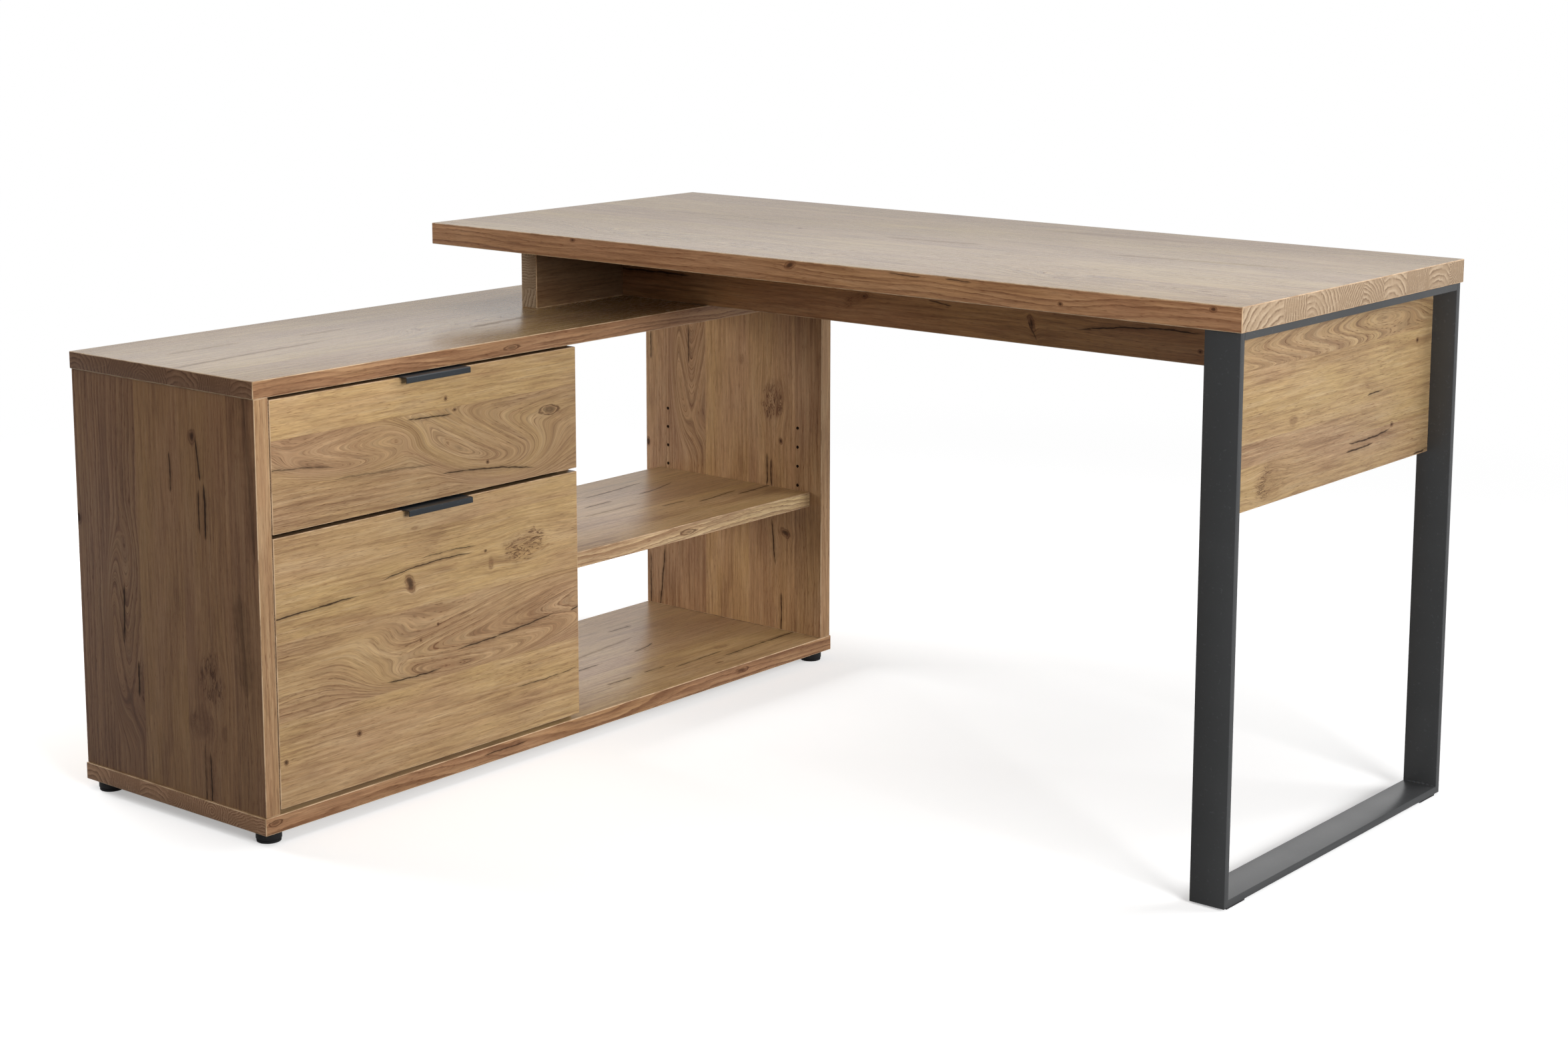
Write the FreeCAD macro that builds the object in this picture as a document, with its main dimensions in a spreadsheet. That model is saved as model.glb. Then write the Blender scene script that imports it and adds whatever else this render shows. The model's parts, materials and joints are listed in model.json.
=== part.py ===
import FreeCAD, Part
import os
import re

import Sketcher

# Corner desk: a long desk top that stands on a flat-steel sled leg at one end and on a low
# cabinet at the other.  The cabinet lies across the desk and holds two drawers and an open
# bay with one shelf.
# Row frame: origin at the centre of the footprint on the floor, +X towards the sled leg,
# +Y towards the rear edge of the desk, +Z up.  "Left" and "right" in the cabinet are as
# seen by someone who faces its drawers, so left is -Y.  All sizes are in millimetres.

DOC = FreeCAD.newDocument("corner_desk")
SHEET = DOC.addObject("Spreadsheet::Sheet", "Sizes")

# --- driving sizes --------------------------------------------------------------------

SIZES = (
    ("desk_height", 760, "floor to the desk top's upper face"),
    ("top_length", 1400, "desk top along X"),
    ("top_depth", 600, "desk top along Y"),
    ("top_thick", 32, "desk top board"),
    ("top_reveal", 88, "cabinet left uncovered beyond the desk top's left end"),
    ("edge_round", 0.8, "radius on the edges of every wooden board"),
    ("leg_inset", 3, "sled leg in from the desk top's edges"),
    ("leg_width", 50, "flat steel, seen from the front"),
    ("leg_flat", 10, "flat steel thickness"),
    ("glide_thick", 3, "plastic glide under the sled leg"),
    ("glide_length", 44, "glide along the leg's bottom bar"),
    ("glide_set", 2, "glide in from the bar's edges"),
    ("glide_stem_radius", 3, "stem that holds the glide in the bar"),
    ("glide_stem_length", 6, "stem height"),
    ("leg_screw_radius", 3, "machine screw, leg to desk top"),
    ("leg_screw_length", 20, "machine screw under its head"),
    ("leg_screw_head_radius", 5.5, "machine screw head"),
    ("leg_screw_head", 4, "machine screw head height"),
    ("leg_screw_inset", 45, "outermost screws from the top bar's ends"),
    ("nut_radius", 5, "insert nut in the desk top"),
    ("nut_length", 15, "insert nut"),
    ("end_panel_thick", 16, "panel inside the sled leg"),
    ("end_panel_height", 228, "panel below the leg's top bar"),
    ("panel_screw_radius", 2.25, "screw, top bar to end panel"),
    ("panel_screw_length", 40, "screw under its head"),
    ("panel_screw_head_radius", 4.2, "screw head"),
    ("panel_screw_head", 3, "screw head height"),
    ("panel_screw_inset", 60, "outermost panel screws from the bar's ends"),
    ("apron_thick", 16, "rail under the desk top"),
    ("apron_height", 100, "rail, and the gap between desk top and cabinet"),
    ("support_thick", 32, "board that carries the desk top on the cabinet"),
    ("support_set", 100, "support board in from the desk top's front and rear edges"),
    ("support_screw_radius", 3.2, "screw, cabinet top to support board"),
    ("support_screw_length", 50, "screw under its head"),
    ("support_screw_head_radius", 5, "screw head"),
    ("support_screw_head", 3, "screw head height"),
    ("support_screw_inset", 60, "outermost screws from the board's ends"),
    ("bracket_leg", 30, "angle bracket, length of each leg"),
    ("bracket_width", 30, "angle bracket width"),
    ("bracket_thick", 2, "angle bracket steel"),
    ("bracket_hole", 20, "screw hole from the bracket's corner"),
    ("bracket_inset", 100, "outermost brackets from the ends of what they hold"),
    ("small_screw_radius", 1.75, "wood screw shank"),
    ("small_screw_length", 11, "wood screw under its head"),
    ("small_head_radius", 3.2, "wood screw head"),
    ("small_head", 1.6, "wood screw head height"),
    ("dowel_radius", 4, "wooden dowel"),
    ("dowel_length", 30, "wooden dowel"),
    ("dowel_face", 12, "part of the dowel in the board it meets face on"),
    ("dowel_inset", 32, "outermost dowels from a board's edge"),
    ("hole_play", 0.1, "radial clearance of a pin or screw in its hole"),
    ("hole_end", 0.5, "hole deeper than its pin or screw"),
    ("cabinet_length", 1200, "over the side panels, along Y"),
    ("cabinet_depth", 386, "side panels along X"),
    ("plate_lip", 1, "top and base plates beyond the panels, front and back"),
    ("plate_end", 2, "top and base plates beyond the panels at the ends"),
    ("plate_thick", 24, "cabinet top and base plates"),
    ("board_thick", 24, "cabinet side panels and divider"),
    ("drawer_bay", 552, "clear width for the drawers"),
    ("bay_back_thick", 16, "back of the drawer bay"),
    ("foot_height", 16, "cabinet foot"),
    ("foot_radius", 17.5, "cabinet foot"),
    ("foot_step", 0.8, "lower rim of the foot, smaller than its body"),
    ("foot_rim", 4, "height of the lower rim"),
    ("foot_inset", 24, "foot centre from the base plate's edges"),
    ("foot_recess_radius", 5.5, "recess for the screw head, from below"),
    ("foot_recess", 9, "depth of the recess"),
    ("foot_screw_radius", 2.25, "foot screw"),
    ("foot_screw_length", 20, "foot screw under its head"),
    ("foot_head_radius", 4.5, "foot screw head"),
    ("foot_head", 3, "foot screw head height"),
    ("shelf_thick", 24, "shelf in the open bay"),
    ("shelf_front_set", 23, "shelf behind the panels' front edges"),
    ("shelf_back_set", 31, "shelf in from the panels' rear edges"),
    ("shelf_play", 0.5, "gap at each end of the shelf"),
    ("shelf_rise", 220, "lowest row of pin holes above the base plate"),
    ("pin_pitch", 32, "rows of pin holes"),
    ("pin_inset", 50, "columns of pin holes from the panel's edges"),
    ("pin_radius", 2.5, "shelf pin holes"),
    ("pin_fit", 0.05, "shelf pin stem smaller than its hole"),
    ("pin_depth", 10, "shelf pin holes"),
    ("pin_tongue", 9, "tongue under the shelf"),
    ("pin_tongue_width", 12, "tongue width"),
    ("pin_tongue_thick", 2, "tongue and web thickness"),
    ("pin_web", 8, "web below the tongue's top"),
    ("front_thick", 16, "drawer fronts"),
    ("front_side_gap", 1.5, "drawer front to the side panel"),
    ("front_divider_gap", 1, "drawer front short of the divider's far face"),
    ("front_rest", 1, "divider behind the drawer fronts"),
    ("front_top_gap", 4, "upper front to the top plate"),
    ("front_gap", 5, "between the drawer fronts"),
    ("front_bottom_gap", 6, "lower front to the base plate"),
    ("upper_front_height", 180, "upper drawer front"),
    ("box_lift", 20, "drawer box above its front's lower edge"),
    ("upper_box_height", 120, "upper drawer's sides"),
    ("lower_box_height", 240, "lower drawer's sides"),
    ("box_side_thick", 12, "drawer sides and back"),
    ("box_end_gap", 4, "drawer box to the bay's back"),
    ("box_bottom_thick", 3, "drawer bottom"),
    ("box_bottom_lift", 10, "drawer bottom above the sides' lower edges"),
    ("groove_depth", 6, "groove for the drawer bottom"),
    ("groove_play", 0.2, "groove higher than the bottom"),
    ("groove_end", 0.5, "bottom short of the groove's floor"),
    ("box_dowel_radius", 3, "drawer dowel"),
    ("box_dowel_length", 24, "drawer dowel"),
    ("box_dowel_face", 8, "part of the dowel in the board it meets face on"),
    ("box_dowel_inset", 28, "drawer dowels from the side's upper and lower edges"),
    ("handle_length", 120, "edge pull along the front"),
    ("handle_thick", 1.5, "edge pull's sheet"),
    ("handle_reach", 16, "edge pull in front of the drawer front"),
    ("handle_lip", 8.5, "edge pull's lip"),
    ("handle_drop", 20, "edge pull's flange behind the front"),
    ("handle_screw_inset", 25, "screws from the edge pull's ends"),
    ("handle_screw_drop", 12, "screws below the front's top edge"),
    ("runner_space", 12.7, "three-part runner between panel and drawer box"),
    ("runner_height", 45, "outer member"),
    ("runner_steel", 1.2, "runner members' sheet"),
    ("runner_play", 0.4, "between two members, above and below"),
    ("runner_setback", 2, "runner behind the drawer front"),
    ("runner_end_gap", 2, "runner to the bay's back"),
    ("outer_member_depth", 9, "outer member's flanges"),
    ("middle_member_start", 3.2, "middle member from the panel"),
    ("middle_member_depth", 7.9, "middle member's flanges"),
    ("inner_member_start", 4.8, "inner member's flange tips from the panel"),
    ("middle_member_short", 50, "middle member shorter than the outer one"),
    ("outer_screw_inset", 35, "outer member's end screws from its ends"),
    ("inner_screw_inset", 60, "inner member's end screws from its ends"),
)

for row, (alias, size, note) in enumerate(SIZES, start=1):
    SHEET.set(f"A{row}", alias)
    SHEET.set(f"B{row}", str(size))
    SHEET.set(f"C{row}", note)
    SHEET.setAlias(f"B{row}", alias)
DOC.recompute()

# --- derived places, all formulas of the sizes above ----------------------------------

PLACES = {
    # along X
    "desk_right": "(top_length + top_reveal) / 2",
    "desk_left": "desk_right - top_length",
    "leg_right": "desk_right - leg_inset",
    "leg_left": "leg_right - leg_width",
    "leg_screw_x": "leg_right - (leg_width - end_panel_thick) / 2",
    "end_panel_x": "leg_left + end_panel_thick / 2",
    "plate_left": "-desk_right",
    "carcass_left": "plate_left + plate_lip",
    "carcass_right": "carcass_left + cabinet_depth",
    "plate_right": "carcass_right + plate_lip",
    "plate_depth": "plate_right - plate_left",
    "support_left": "(plate_left + plate_right - support_thick) / 2",
    "support_right": "support_left + support_thick",
    "front_back": "carcass_right - front_thick",
    "divider_front": "front_back - front_rest",
    "bay_back_face": "carcass_left + bay_back_thick",
    "box_rear": "bay_back_face + box_end_gap",
    "runner_front": "front_back - runner_setback",
    "runner_rear": "bay_back_face + runner_end_gap",
    "shelf_rear": "carcass_left + shelf_back_set",
    "shelf_front": "carcass_right - shelf_front_set",
    # along Y
    "cabinet_start": "-cabinet_length / 2",
    "cabinet_finish": "cabinet_length / 2",
    "bay_left": "cabinet_start + board_thick",
    "bay_right": "bay_left + drawer_bay",
    "open_left": "bay_right + board_thick",
    "open_right": "cabinet_finish - board_thick",
    "desk_back": "cabinet_finish",
    "desk_front": "desk_back - top_depth",
    "desk_middle": "desk_back - top_depth / 2",
    "leg_front": "desk_front + leg_inset",
    "leg_back": "desk_back - leg_inset",
    "bar_front": "leg_front + leg_flat",
    "bar_back": "leg_back - leg_flat",
    "bar_length": "bar_back - bar_front",
    "apron_front": "desk_middle - apron_thick / 2",
    "apron_rear": "apron_front + apron_thick",
    "support_front": "desk_front + support_set",
    "support_back": "desk_back - support_set",
    "front_start": "bay_left + front_side_gap",
    "front_finish": "open_left - front_divider_gap",
    "front_middle": "(front_start + front_finish) / 2",
    "box_left": "bay_left + runner_space",
    "box_right": "bay_right - runner_space",
    "box_inner_left": "box_left + box_side_thick",
    "box_inner_right": "box_right - box_side_thick",
    # along Z
    "top_under": "desk_height - top_thick",
    "bar_under": "top_under - leg_flat",
    "cabinet_top_z": "top_under - apron_height",
    "panel_top": "cabinet_top_z - plate_thick",
    "panel_bottom": "foot_height + plate_thick",
    "shelf_under": "panel_bottom + shelf_rise",
    "end_panel_bottom": "bar_under - end_panel_height",
    "upper_front_top": "panel_top - front_top_gap",
    "upper_front_bottom": "upper_front_top - upper_front_height",
    "upper_box_bottom": "upper_front_bottom + box_lift",
    "lower_front_top": "upper_front_bottom - front_gap",
    "lower_front_bottom": "panel_bottom + front_bottom_gap",
    "lower_box_bottom": "lower_front_bottom + box_lift",
}

ALIASES = {alias for alias, size, note in SIZES}


def formula(text):
    """Rewrite a formula of size and place names as a FreeCAD expression on the sheet."""

    def swap(match):
        word = match.group(0)
        if word in PLACES:
            return "(" + formula(PLACES[word]) + ")"
        if word in ALIASES:
            return "Sizes." + word
        raise NameError(f"no size or place is called {word}")

    return re.sub(r"[a-z][a-z_]+", swap, str(text))


def bind(thing, slot, text):
    """Tie one property of an object to the sheet."""
    thing.setExpression(slot, formula(text))


def put(thing, corner):
    """Tie an object's position to three formulas."""
    for axis, text in zip("xyz", corner):
        bind(thing, f"Placement.Base.{axis}", text)


def spread(first, last, count):
    """Formulas of evenly spaced places from the first to the last."""
    return [f"({first}) + (({last}) - ({first})) * {i} / {count - 1}" for i in range(count)]


# --- parts that go to files, and holes whose volume is checked -------------------------

SUBPARTS = []
CUTS = []


def keep(thing, label):
    """Name a finished sub-part and list it for writing."""
    thing.Label = label
    SUBPARTS.append(thing)
    return thing


# --- wooden and steel boards as PartDesign bodies --------------------------------------

CORNERS = ((0, 0), (10, 0), (10, 10), (0, 10))


def draw_rectangle(sketch, start, size):
    """Draw a rectangle whose start corner and size follow four formulas."""
    spots = [FreeCAD.Vector(x + 1, y + 1, 0) for x, y in CORNERS]
    for i in range(4):
        sketch.addGeometry(Part.LineSegment(spots[i], spots[(i + 1) % 4]), False)
    for i in range(4):
        sketch.addConstraint(Sketcher.Constraint("Coincident", i, 2, (i + 1) % 4, 1))
    for i in (0, 2):
        sketch.addConstraint(Sketcher.Constraint("Horizontal", i))
        sketch.addConstraint(Sketcher.Constraint("Vertical", i + 1))
    origin, x_axis, y_axis = -1, -1, -2
    for kind, text, axis in (("DistanceX", start[0], y_axis), ("DistanceY", start[1], x_axis)):
        if text == "0":
            sketch.addConstraint(Sketcher.Constraint("PointOnObject", 0, 1, axis))
        else:
            rule = Sketcher.Constraint(kind, origin, 1, 0, 1, 1.0)
            name_rule(sketch, rule, "start_" + kind[-1].lower(), text)
    name_rule(sketch, Sketcher.Constraint("DistanceX", 0, 1, 0, 2, 10.0), "width", size[0])
    name_rule(sketch, Sketcher.Constraint("DistanceY", 1, 1, 1, 2, 10.0), "height", size[1])


def draw_circles(sketch, centres, radius):
    """Draw one circle for each pair of centre formulas."""
    for i, (across, up) in enumerate(centres):
        middle = FreeCAD.Vector(5 + 5 * i, 5, 0)
        ring = sketch.addGeometry(Part.Circle(middle, FreeCAD.Vector(0, 0, 1), 1.0), False)
        name_rule(sketch, Sketcher.Constraint("Radius", ring, 1.0), f"radius_{i}", radius)
        rule_x = Sketcher.Constraint("DistanceX", -1, 1, ring, 3, 5.0)
        rule_y = Sketcher.Constraint("DistanceY", -1, 1, ring, 3, 5.0)
        name_rule(sketch, rule_x, f"across_{i}", across)
        name_rule(sketch, rule_y, f"up_{i}", up)


def name_rule(sketch, rule, name, text):
    """Add a dimension to a sketch, name it and tie it to a formula."""
    index = sketch.addConstraint(rule)
    sketch.renameConstraint(index, name)
    bind(sketch, "Constraints." + name, text)


class Board:
    """A square-edged board or bar: a padded rectangle that is drilled and grooved.

    Holes are given by places in the row frame, and each face is drilled inwards.
    """

    def __init__(self, label, corner, size, rounded=True):
        self.corner = corner
        self.size = size
        self.body = keep(DOC.addObject("PartDesign::Body", label), label)
        self.planes = {plane.Role: plane for plane in self.body.Origin.OriginFeatures}
        outline = self.sketch("outline", "XY_Plane")
        draw_rectangle(outline, ("0", "0"), size[:2])
        pad = self.body.newObject("PartDesign::Pad", label + "_pad")
        pad.Profile = outline
        bind(pad, "Length", size[2])
        if rounded:
            DOC.recompute()
            soft = self.body.newObject("PartDesign::Fillet", label + "_soft_edges")
            soft.Base = (pad, [""])
            soft.UseAllEdges = True
            bind(soft, "Radius", "edge_round")
        put(self.body, corner)

    def sketch(self, name, role, offset=None):
        """Start a sketch on one of the body's own planes."""
        sketch = self.body.newObject("Sketcher::SketchObject", f"{self.body.Name}_{name}")
        sketch.AttachmentSupport = [(self.planes[role], "")]
        sketch.MapMode = "FlatFace"
        if offset:
            bind(sketch, "AttachmentOffset.Base.z", offset)
        return sketch

    def face(self, side):
        """Plane, offset along its normal, pocket direction and sketch axes of one face."""
        length, depth, height = self.size
        return {
            "top": ("XY_Plane", height, False, (0, 1)),
            "bottom": ("XY_Plane", None, True, (0, 1)),
            "right": ("YZ_Plane", length, False, (1, 2)),
            "left": ("YZ_Plane", None, True, (1, 2)),
            "front": ("XZ_Plane", None, False, (0, 2)),
            "back": ("XZ_Plane", f"-({depth})", True, (0, 2)),
        }[side]

    def local(self, spot, axis):
        """Formula of a place in the row frame, seen from the board's own corner."""
        return f"({spot[axis]}) - ({self.corner[axis]})"

    def pocket(self, sketch, reverse, depth):
        """Cut a sketch into the board and note what came before it."""
        before = self.body.Tip
        pocket = self.body.newObject("PartDesign::Pocket", sketch.Name + "_cut")
        pocket.Profile = sketch
        pocket.Reversed = reverse
        bind(pocket, "Length", depth)
        CUTS.append((before, sketch, pocket))

    def drill(self, side, spots, radius, depth):
        """Drill equal round holes into one face, at places in the row frame."""
        role, offset, reverse, axes = self.face(side)
        sketch = self.sketch(side + "_holes", role, offset)
        centres = [[self.local(spot, axis) for axis in axes] for spot in spots]
        draw_circles(sketch, centres, radius)
        self.pocket(sketch, reverse, depth)

    def groove(self, side, spot, size, depth):
        """Cut a rectangular groove into one face; a start of "0" runs out at that end."""
        role, offset, reverse, axes = self.face(side)
        sketch = self.sketch(side + "_groove", role, offset)
        start = ["0" if spot[a] == "0" else self.local(spot, a) for a in axes]
        draw_rectangle(sketch, start, size)
        self.pocket(sketch, reverse, depth)


# --- Part primitives, and groups of equal fasteners -------------------------------------

OUTWARD = {
    "+X": FreeCAD.Rotation(FreeCAD.Vector(0, 1, 0), 90),
    "-X": FreeCAD.Rotation(FreeCAD.Vector(0, 1, 0), -90),
    "+Y": FreeCAD.Rotation(FreeCAD.Vector(1, 0, 0), -90),
    "-Y": FreeCAD.Rotation(FreeCAD.Vector(1, 0, 0), 90),
    "+Z": FreeCAD.Rotation(),
    "-Z": FreeCAD.Rotation(FreeCAD.Vector(1, 0, 0), 180),
}


def block(name, corner, size):
    """A Part box whose corner and size follow formulas."""
    shape = DOC.addObject("Part::Box", name)
    for slot, text in zip(("Length", "Width", "Height"), size):
        bind(shape, slot, text)
    put(shape, corner)
    return shape


def rod(name, spot, radius, height, way="+Z"):
    """A Part cylinder from a place, along one direction."""
    shape = DOC.addObject("Part::Cylinder", name)
    bind(shape, "Radius", radius)
    bind(shape, "Height", height)
    shape.Placement = FreeCAD.Placement(FreeCAD.Vector(), OUTWARD[way])
    put(shape, spot)
    return shape


def fuse(name, shapes):
    """Join several shapes into one solid."""
    joined = DOC.addObject("Part::MultiFuse", name)
    joined.Shapes = shapes
    joined.Refine = True
    return joined


def cut(name, base, tools):
    """Take one or more tools away from a base."""
    tool = tools[0]
    if len(tools) > 1:
        tool = DOC.addObject("Part::Compound", name + "_tools")
        tool.Links = tools
    left = DOC.addObject("Part::Cut", name)
    left.Base = base
    left.Tool = tool
    return left


def screw(name, shank_radius, length, head_radius, head):
    """A plain screw: its head sits on the origin plane and its shank points down."""
    shank = rod(name + "_shank", ("0", "0", f"-({length})"), shank_radius, length)
    cap = rod(name + "_head", ("0", "0", "0"), head_radius, head)
    return fuse(name, [shank, cap])


def group(label, master, spots):
    """Copies of one master at (direction, x, y, z), as one sub-part of separate solids."""
    copies = []
    for i, (way, *spot) in enumerate(spots):
        copy = DOC.addObject("App::Link", f"{label}_{i}")
        copy.LinkedObject = master
        turn = OUTWARD[way] if isinstance(way, str) else way
        copy.Placement = FreeCAD.Placement(FreeCAD.Vector(), turn)
        put(copy, spot)
        copies.append(copy)
    bundle = DOC.addObject("Part::Compound", label)
    bundle.Links = copies
    return keep(bundle, label)


SMALL_SCREW = screw("small_screw", "small_screw_radius", "small_screw_length",
                    "small_head_radius", "small_head")
DOWEL = rod("dowel", ("0", "0", "0"), "dowel_radius", "dowel_length")
BOX_DOWEL = rod("box_dowel", ("0", "0", "0"), "box_dowel_radius", "box_dowel_length")

SMALL_HOLE = "small_screw_radius + hole_play"
DOWEL_HOLE = "dowel_radius + hole_play"
BOX_DOWEL_HOLE = "box_dowel_radius + hole_play"
FACE_DEPTH = "dowel_face + hole_end"
END_DEPTH = "dowel_length - dowel_face + hole_end"
BOX_FACE_DEPTH = "box_dowel_face + hole_end"
BOX_END_DEPTH = "box_dowel_length - box_dowel_face + hole_end"

# --- sled leg ---------------------------------------------------------------------------

LEG_SCREWS = [("leg_screw_x", y, "bar_under + leg_screw_head") for y in
              spread("bar_front + leg_screw_inset", "bar_back - leg_screw_inset", 4)]
PANEL_SCREWS = [("end_panel_x", y, "top_under - panel_screw_head") for y in
                spread("bar_front + panel_screw_inset", "bar_back - panel_screw_inset", 4)]
GLIDES = [("leg_left + leg_width / 2", y, "glide_thick") for y in
          ("bar_front + glide_length / 2", "bar_back - glide_length / 2")]


def make_leg():
    """Welded loop of flat steel, its glides, screws and insert nuts."""
    post = ("leg_width", "leg_flat", "top_under - glide_thick")
    Board("leg_front_post", ("leg_left", "leg_front", "glide_thick"), post, rounded=False)
    Board("leg_rear_post", ("leg_left", "bar_back", "glide_thick"), post, rounded=False)

    bar = ("leg_width", "bar_length", "leg_flat")
    bottom = Board("leg_bottom_bar", ("leg_left", "bar_front", "glide_thick"), bar, rounded=False)
    bottom.drill("bottom", GLIDES, "glide_stem_radius + hole_play", "glide_stem_length + hole_end")

    top = Board("leg_top_bar", ("leg_left", "bar_front", "bar_under"), bar, rounded=False)
    top.drill("bottom", LEG_SCREWS, "leg_screw_radius + hole_play", "leg_flat")
    top.drill("bottom", LEG_SCREWS, "leg_screw_head_radius + hole_play", "leg_screw_head")
    top.drill("top", PANEL_SCREWS, "panel_screw_radius + hole_play", "leg_flat")
    top.drill("top", PANEL_SCREWS, "panel_screw_head_radius + hole_play", "panel_screw_head")

    pad_width = "leg_width - 2 * glide_set"
    pad = block("glide_pad", (f"-({pad_width}) / 2", "-glide_length / 2", "0"),
                (pad_width, "glide_length", "glide_thick"))
    stem = rod("glide_stem", ("0", "0", "0"), "glide_stem_radius",
               "glide_thick + glide_stem_length")
    glide = fuse("glide", [pad, stem])
    group("leg_glides", glide, [("+Z", x, y, "0") for x, y, z in GLIDES])

    machine_screw = screw("leg_screw", "leg_screw_radius", "leg_screw_length",
                          "leg_screw_head_radius", "leg_screw_head")
    group("leg_screws", machine_screw, [("-Z", *spot) for spot in LEG_SCREWS])

    sleeve = rod("nut_body", ("0", "0", "0"), "nut_radius", "nut_length")
    bore = rod("nut_bore", ("0", "0", "-1"), "leg_screw_radius + hole_play", "nut_length + 2")
    nut = cut("insert_nut", sleeve, [bore])
    group("leg_insert_nuts", nut, [("+Z", x, y, "top_under") for x, y, z in LEG_SCREWS])

    panel_screw = screw("panel_screw", "panel_screw_radius", "panel_screw_length",
                        "panel_screw_head_radius", "panel_screw_head")
    group("end_panel_screws", panel_screw, [("+Z", *spot) for spot in PANEL_SCREWS])


# --- desk top, end panel, apron and support board ----------------------------------------

APRON_BRACKETS_X = spread("support_right + bracket_inset", "leg_left - bracket_inset", 3)
SUPPORT_BRACKETS_Y = spread("support_front + bracket_inset",
                            "support_back - bracket_inset", 2)
PANEL_BRACKETS_Y = spread("bar_front + bracket_inset", "bar_back - bracket_inset", 2)
BRACKET_DROP = "top_under - bracket_hole"

APRON_BRACKET_HOLES = [(x, "apron_rear", BRACKET_DROP) for x in APRON_BRACKETS_X]
SUPPORT_BRACKET_HOLES = [("support_left", y, BRACKET_DROP) for y in SUPPORT_BRACKETS_Y]
PANEL_BRACKET_HOLES = [("leg_left", y, BRACKET_DROP) for y in PANEL_BRACKETS_Y]
TOP_BRACKET_HOLES = (
    [(x, "apron_rear + bracket_hole", "top_under") for x in APRON_BRACKETS_X]
    + [("support_left - bracket_hole", y, "top_under") for y in SUPPORT_BRACKETS_Y]
    + [("leg_left - bracket_hole", y, "top_under") for y in PANEL_BRACKETS_Y])
BRACKET_PILOT = "small_screw_length - bracket_thick + hole_end"

APRON_DOWELS_Z = spread("cabinet_top_z + dowel_inset", "top_under - dowel_inset", 2)
APRON_DOWELS_X = spread("support_right + dowel_inset", "plate_right - dowel_inset", 2)
SUPPORT_SCREWS = [("support_left + support_thick / 2", y, "panel_top + support_screw_head")
                  for y in spread("support_front + support_screw_inset",
                                  "support_back - support_screw_inset", 3)]


def make_desk():
    """Desk top and the boards that carry it."""
    top = Board("desktop", ("desk_left", "desk_front", "top_under"),
                ("top_length", "top_depth", "top_thick"))
    top.drill("bottom", LEG_SCREWS, "nut_radius + hole_play", "nut_length + hole_end")
    top.drill("bottom", TOP_BRACKET_HOLES, SMALL_HOLE, BRACKET_PILOT)

    panel = Board("end_panel", ("leg_left", "bar_front", "end_panel_bottom"),
                  ("end_panel_thick", "bar_length", "end_panel_height"))
    panel.drill("top", PANEL_SCREWS, "panel_screw_radius + hole_play",
                "panel_screw_length - leg_flat + panel_screw_head + hole_end")
    panel.drill("left", PANEL_BRACKET_HOLES, SMALL_HOLE, BRACKET_PILOT)
    ends = [("0", "desk_middle", z) for z in APRON_DOWELS_Z]
    panel.drill("left", ends, DOWEL_HOLE, FACE_DEPTH)

    apron = Board("apron", ("support_right", "apron_front", "cabinet_top_z"),
                  ("leg_left - support_right", "apron_thick", "apron_height"))
    apron.drill("back", APRON_BRACKET_HOLES, SMALL_HOLE, BRACKET_PILOT)
    apron.drill("left", ends, DOWEL_HOLE, END_DEPTH)
    apron.drill("right", ends, DOWEL_HOLE, END_DEPTH)
    feet = [(x, "desk_middle", "cabinet_top_z") for x in APRON_DOWELS_X]
    apron.drill("bottom", feet, DOWEL_HOLE, END_DEPTH)

    support = Board("support_board", ("support_left", "support_front", "cabinet_top_z"),
                    ("support_thick", "support_back - support_front", "apron_height"))
    support.drill("left", SUPPORT_BRACKET_HOLES, SMALL_HOLE, BRACKET_PILOT)
    support.drill("right", ends, DOWEL_HOLE, FACE_DEPTH)
    support.drill("bottom", SUPPORT_SCREWS, "support_screw_radius + hole_play",
                  "support_screw_length - plate_thick + support_screw_head + hole_end")

    long_screw = screw("support_screw", "support_screw_radius", "support_screw_length",
                       "support_screw_head_radius", "support_screw_head")
    group("support_screws", long_screw, [("-Z", *spot) for spot in SUPPORT_SCREWS])

    group("desk_dowels", DOWEL,
          [("+X", "support_right - dowel_face", "desk_middle", z) for z in APRON_DOWELS_Z]
          + [("-X", "leg_left + dowel_face", "desk_middle", z) for z in APRON_DOWELS_Z]
          + [("+Z", x, "desk_middle", "cabinet_top_z - dowel_face") for x in APRON_DOWELS_X])


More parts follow.
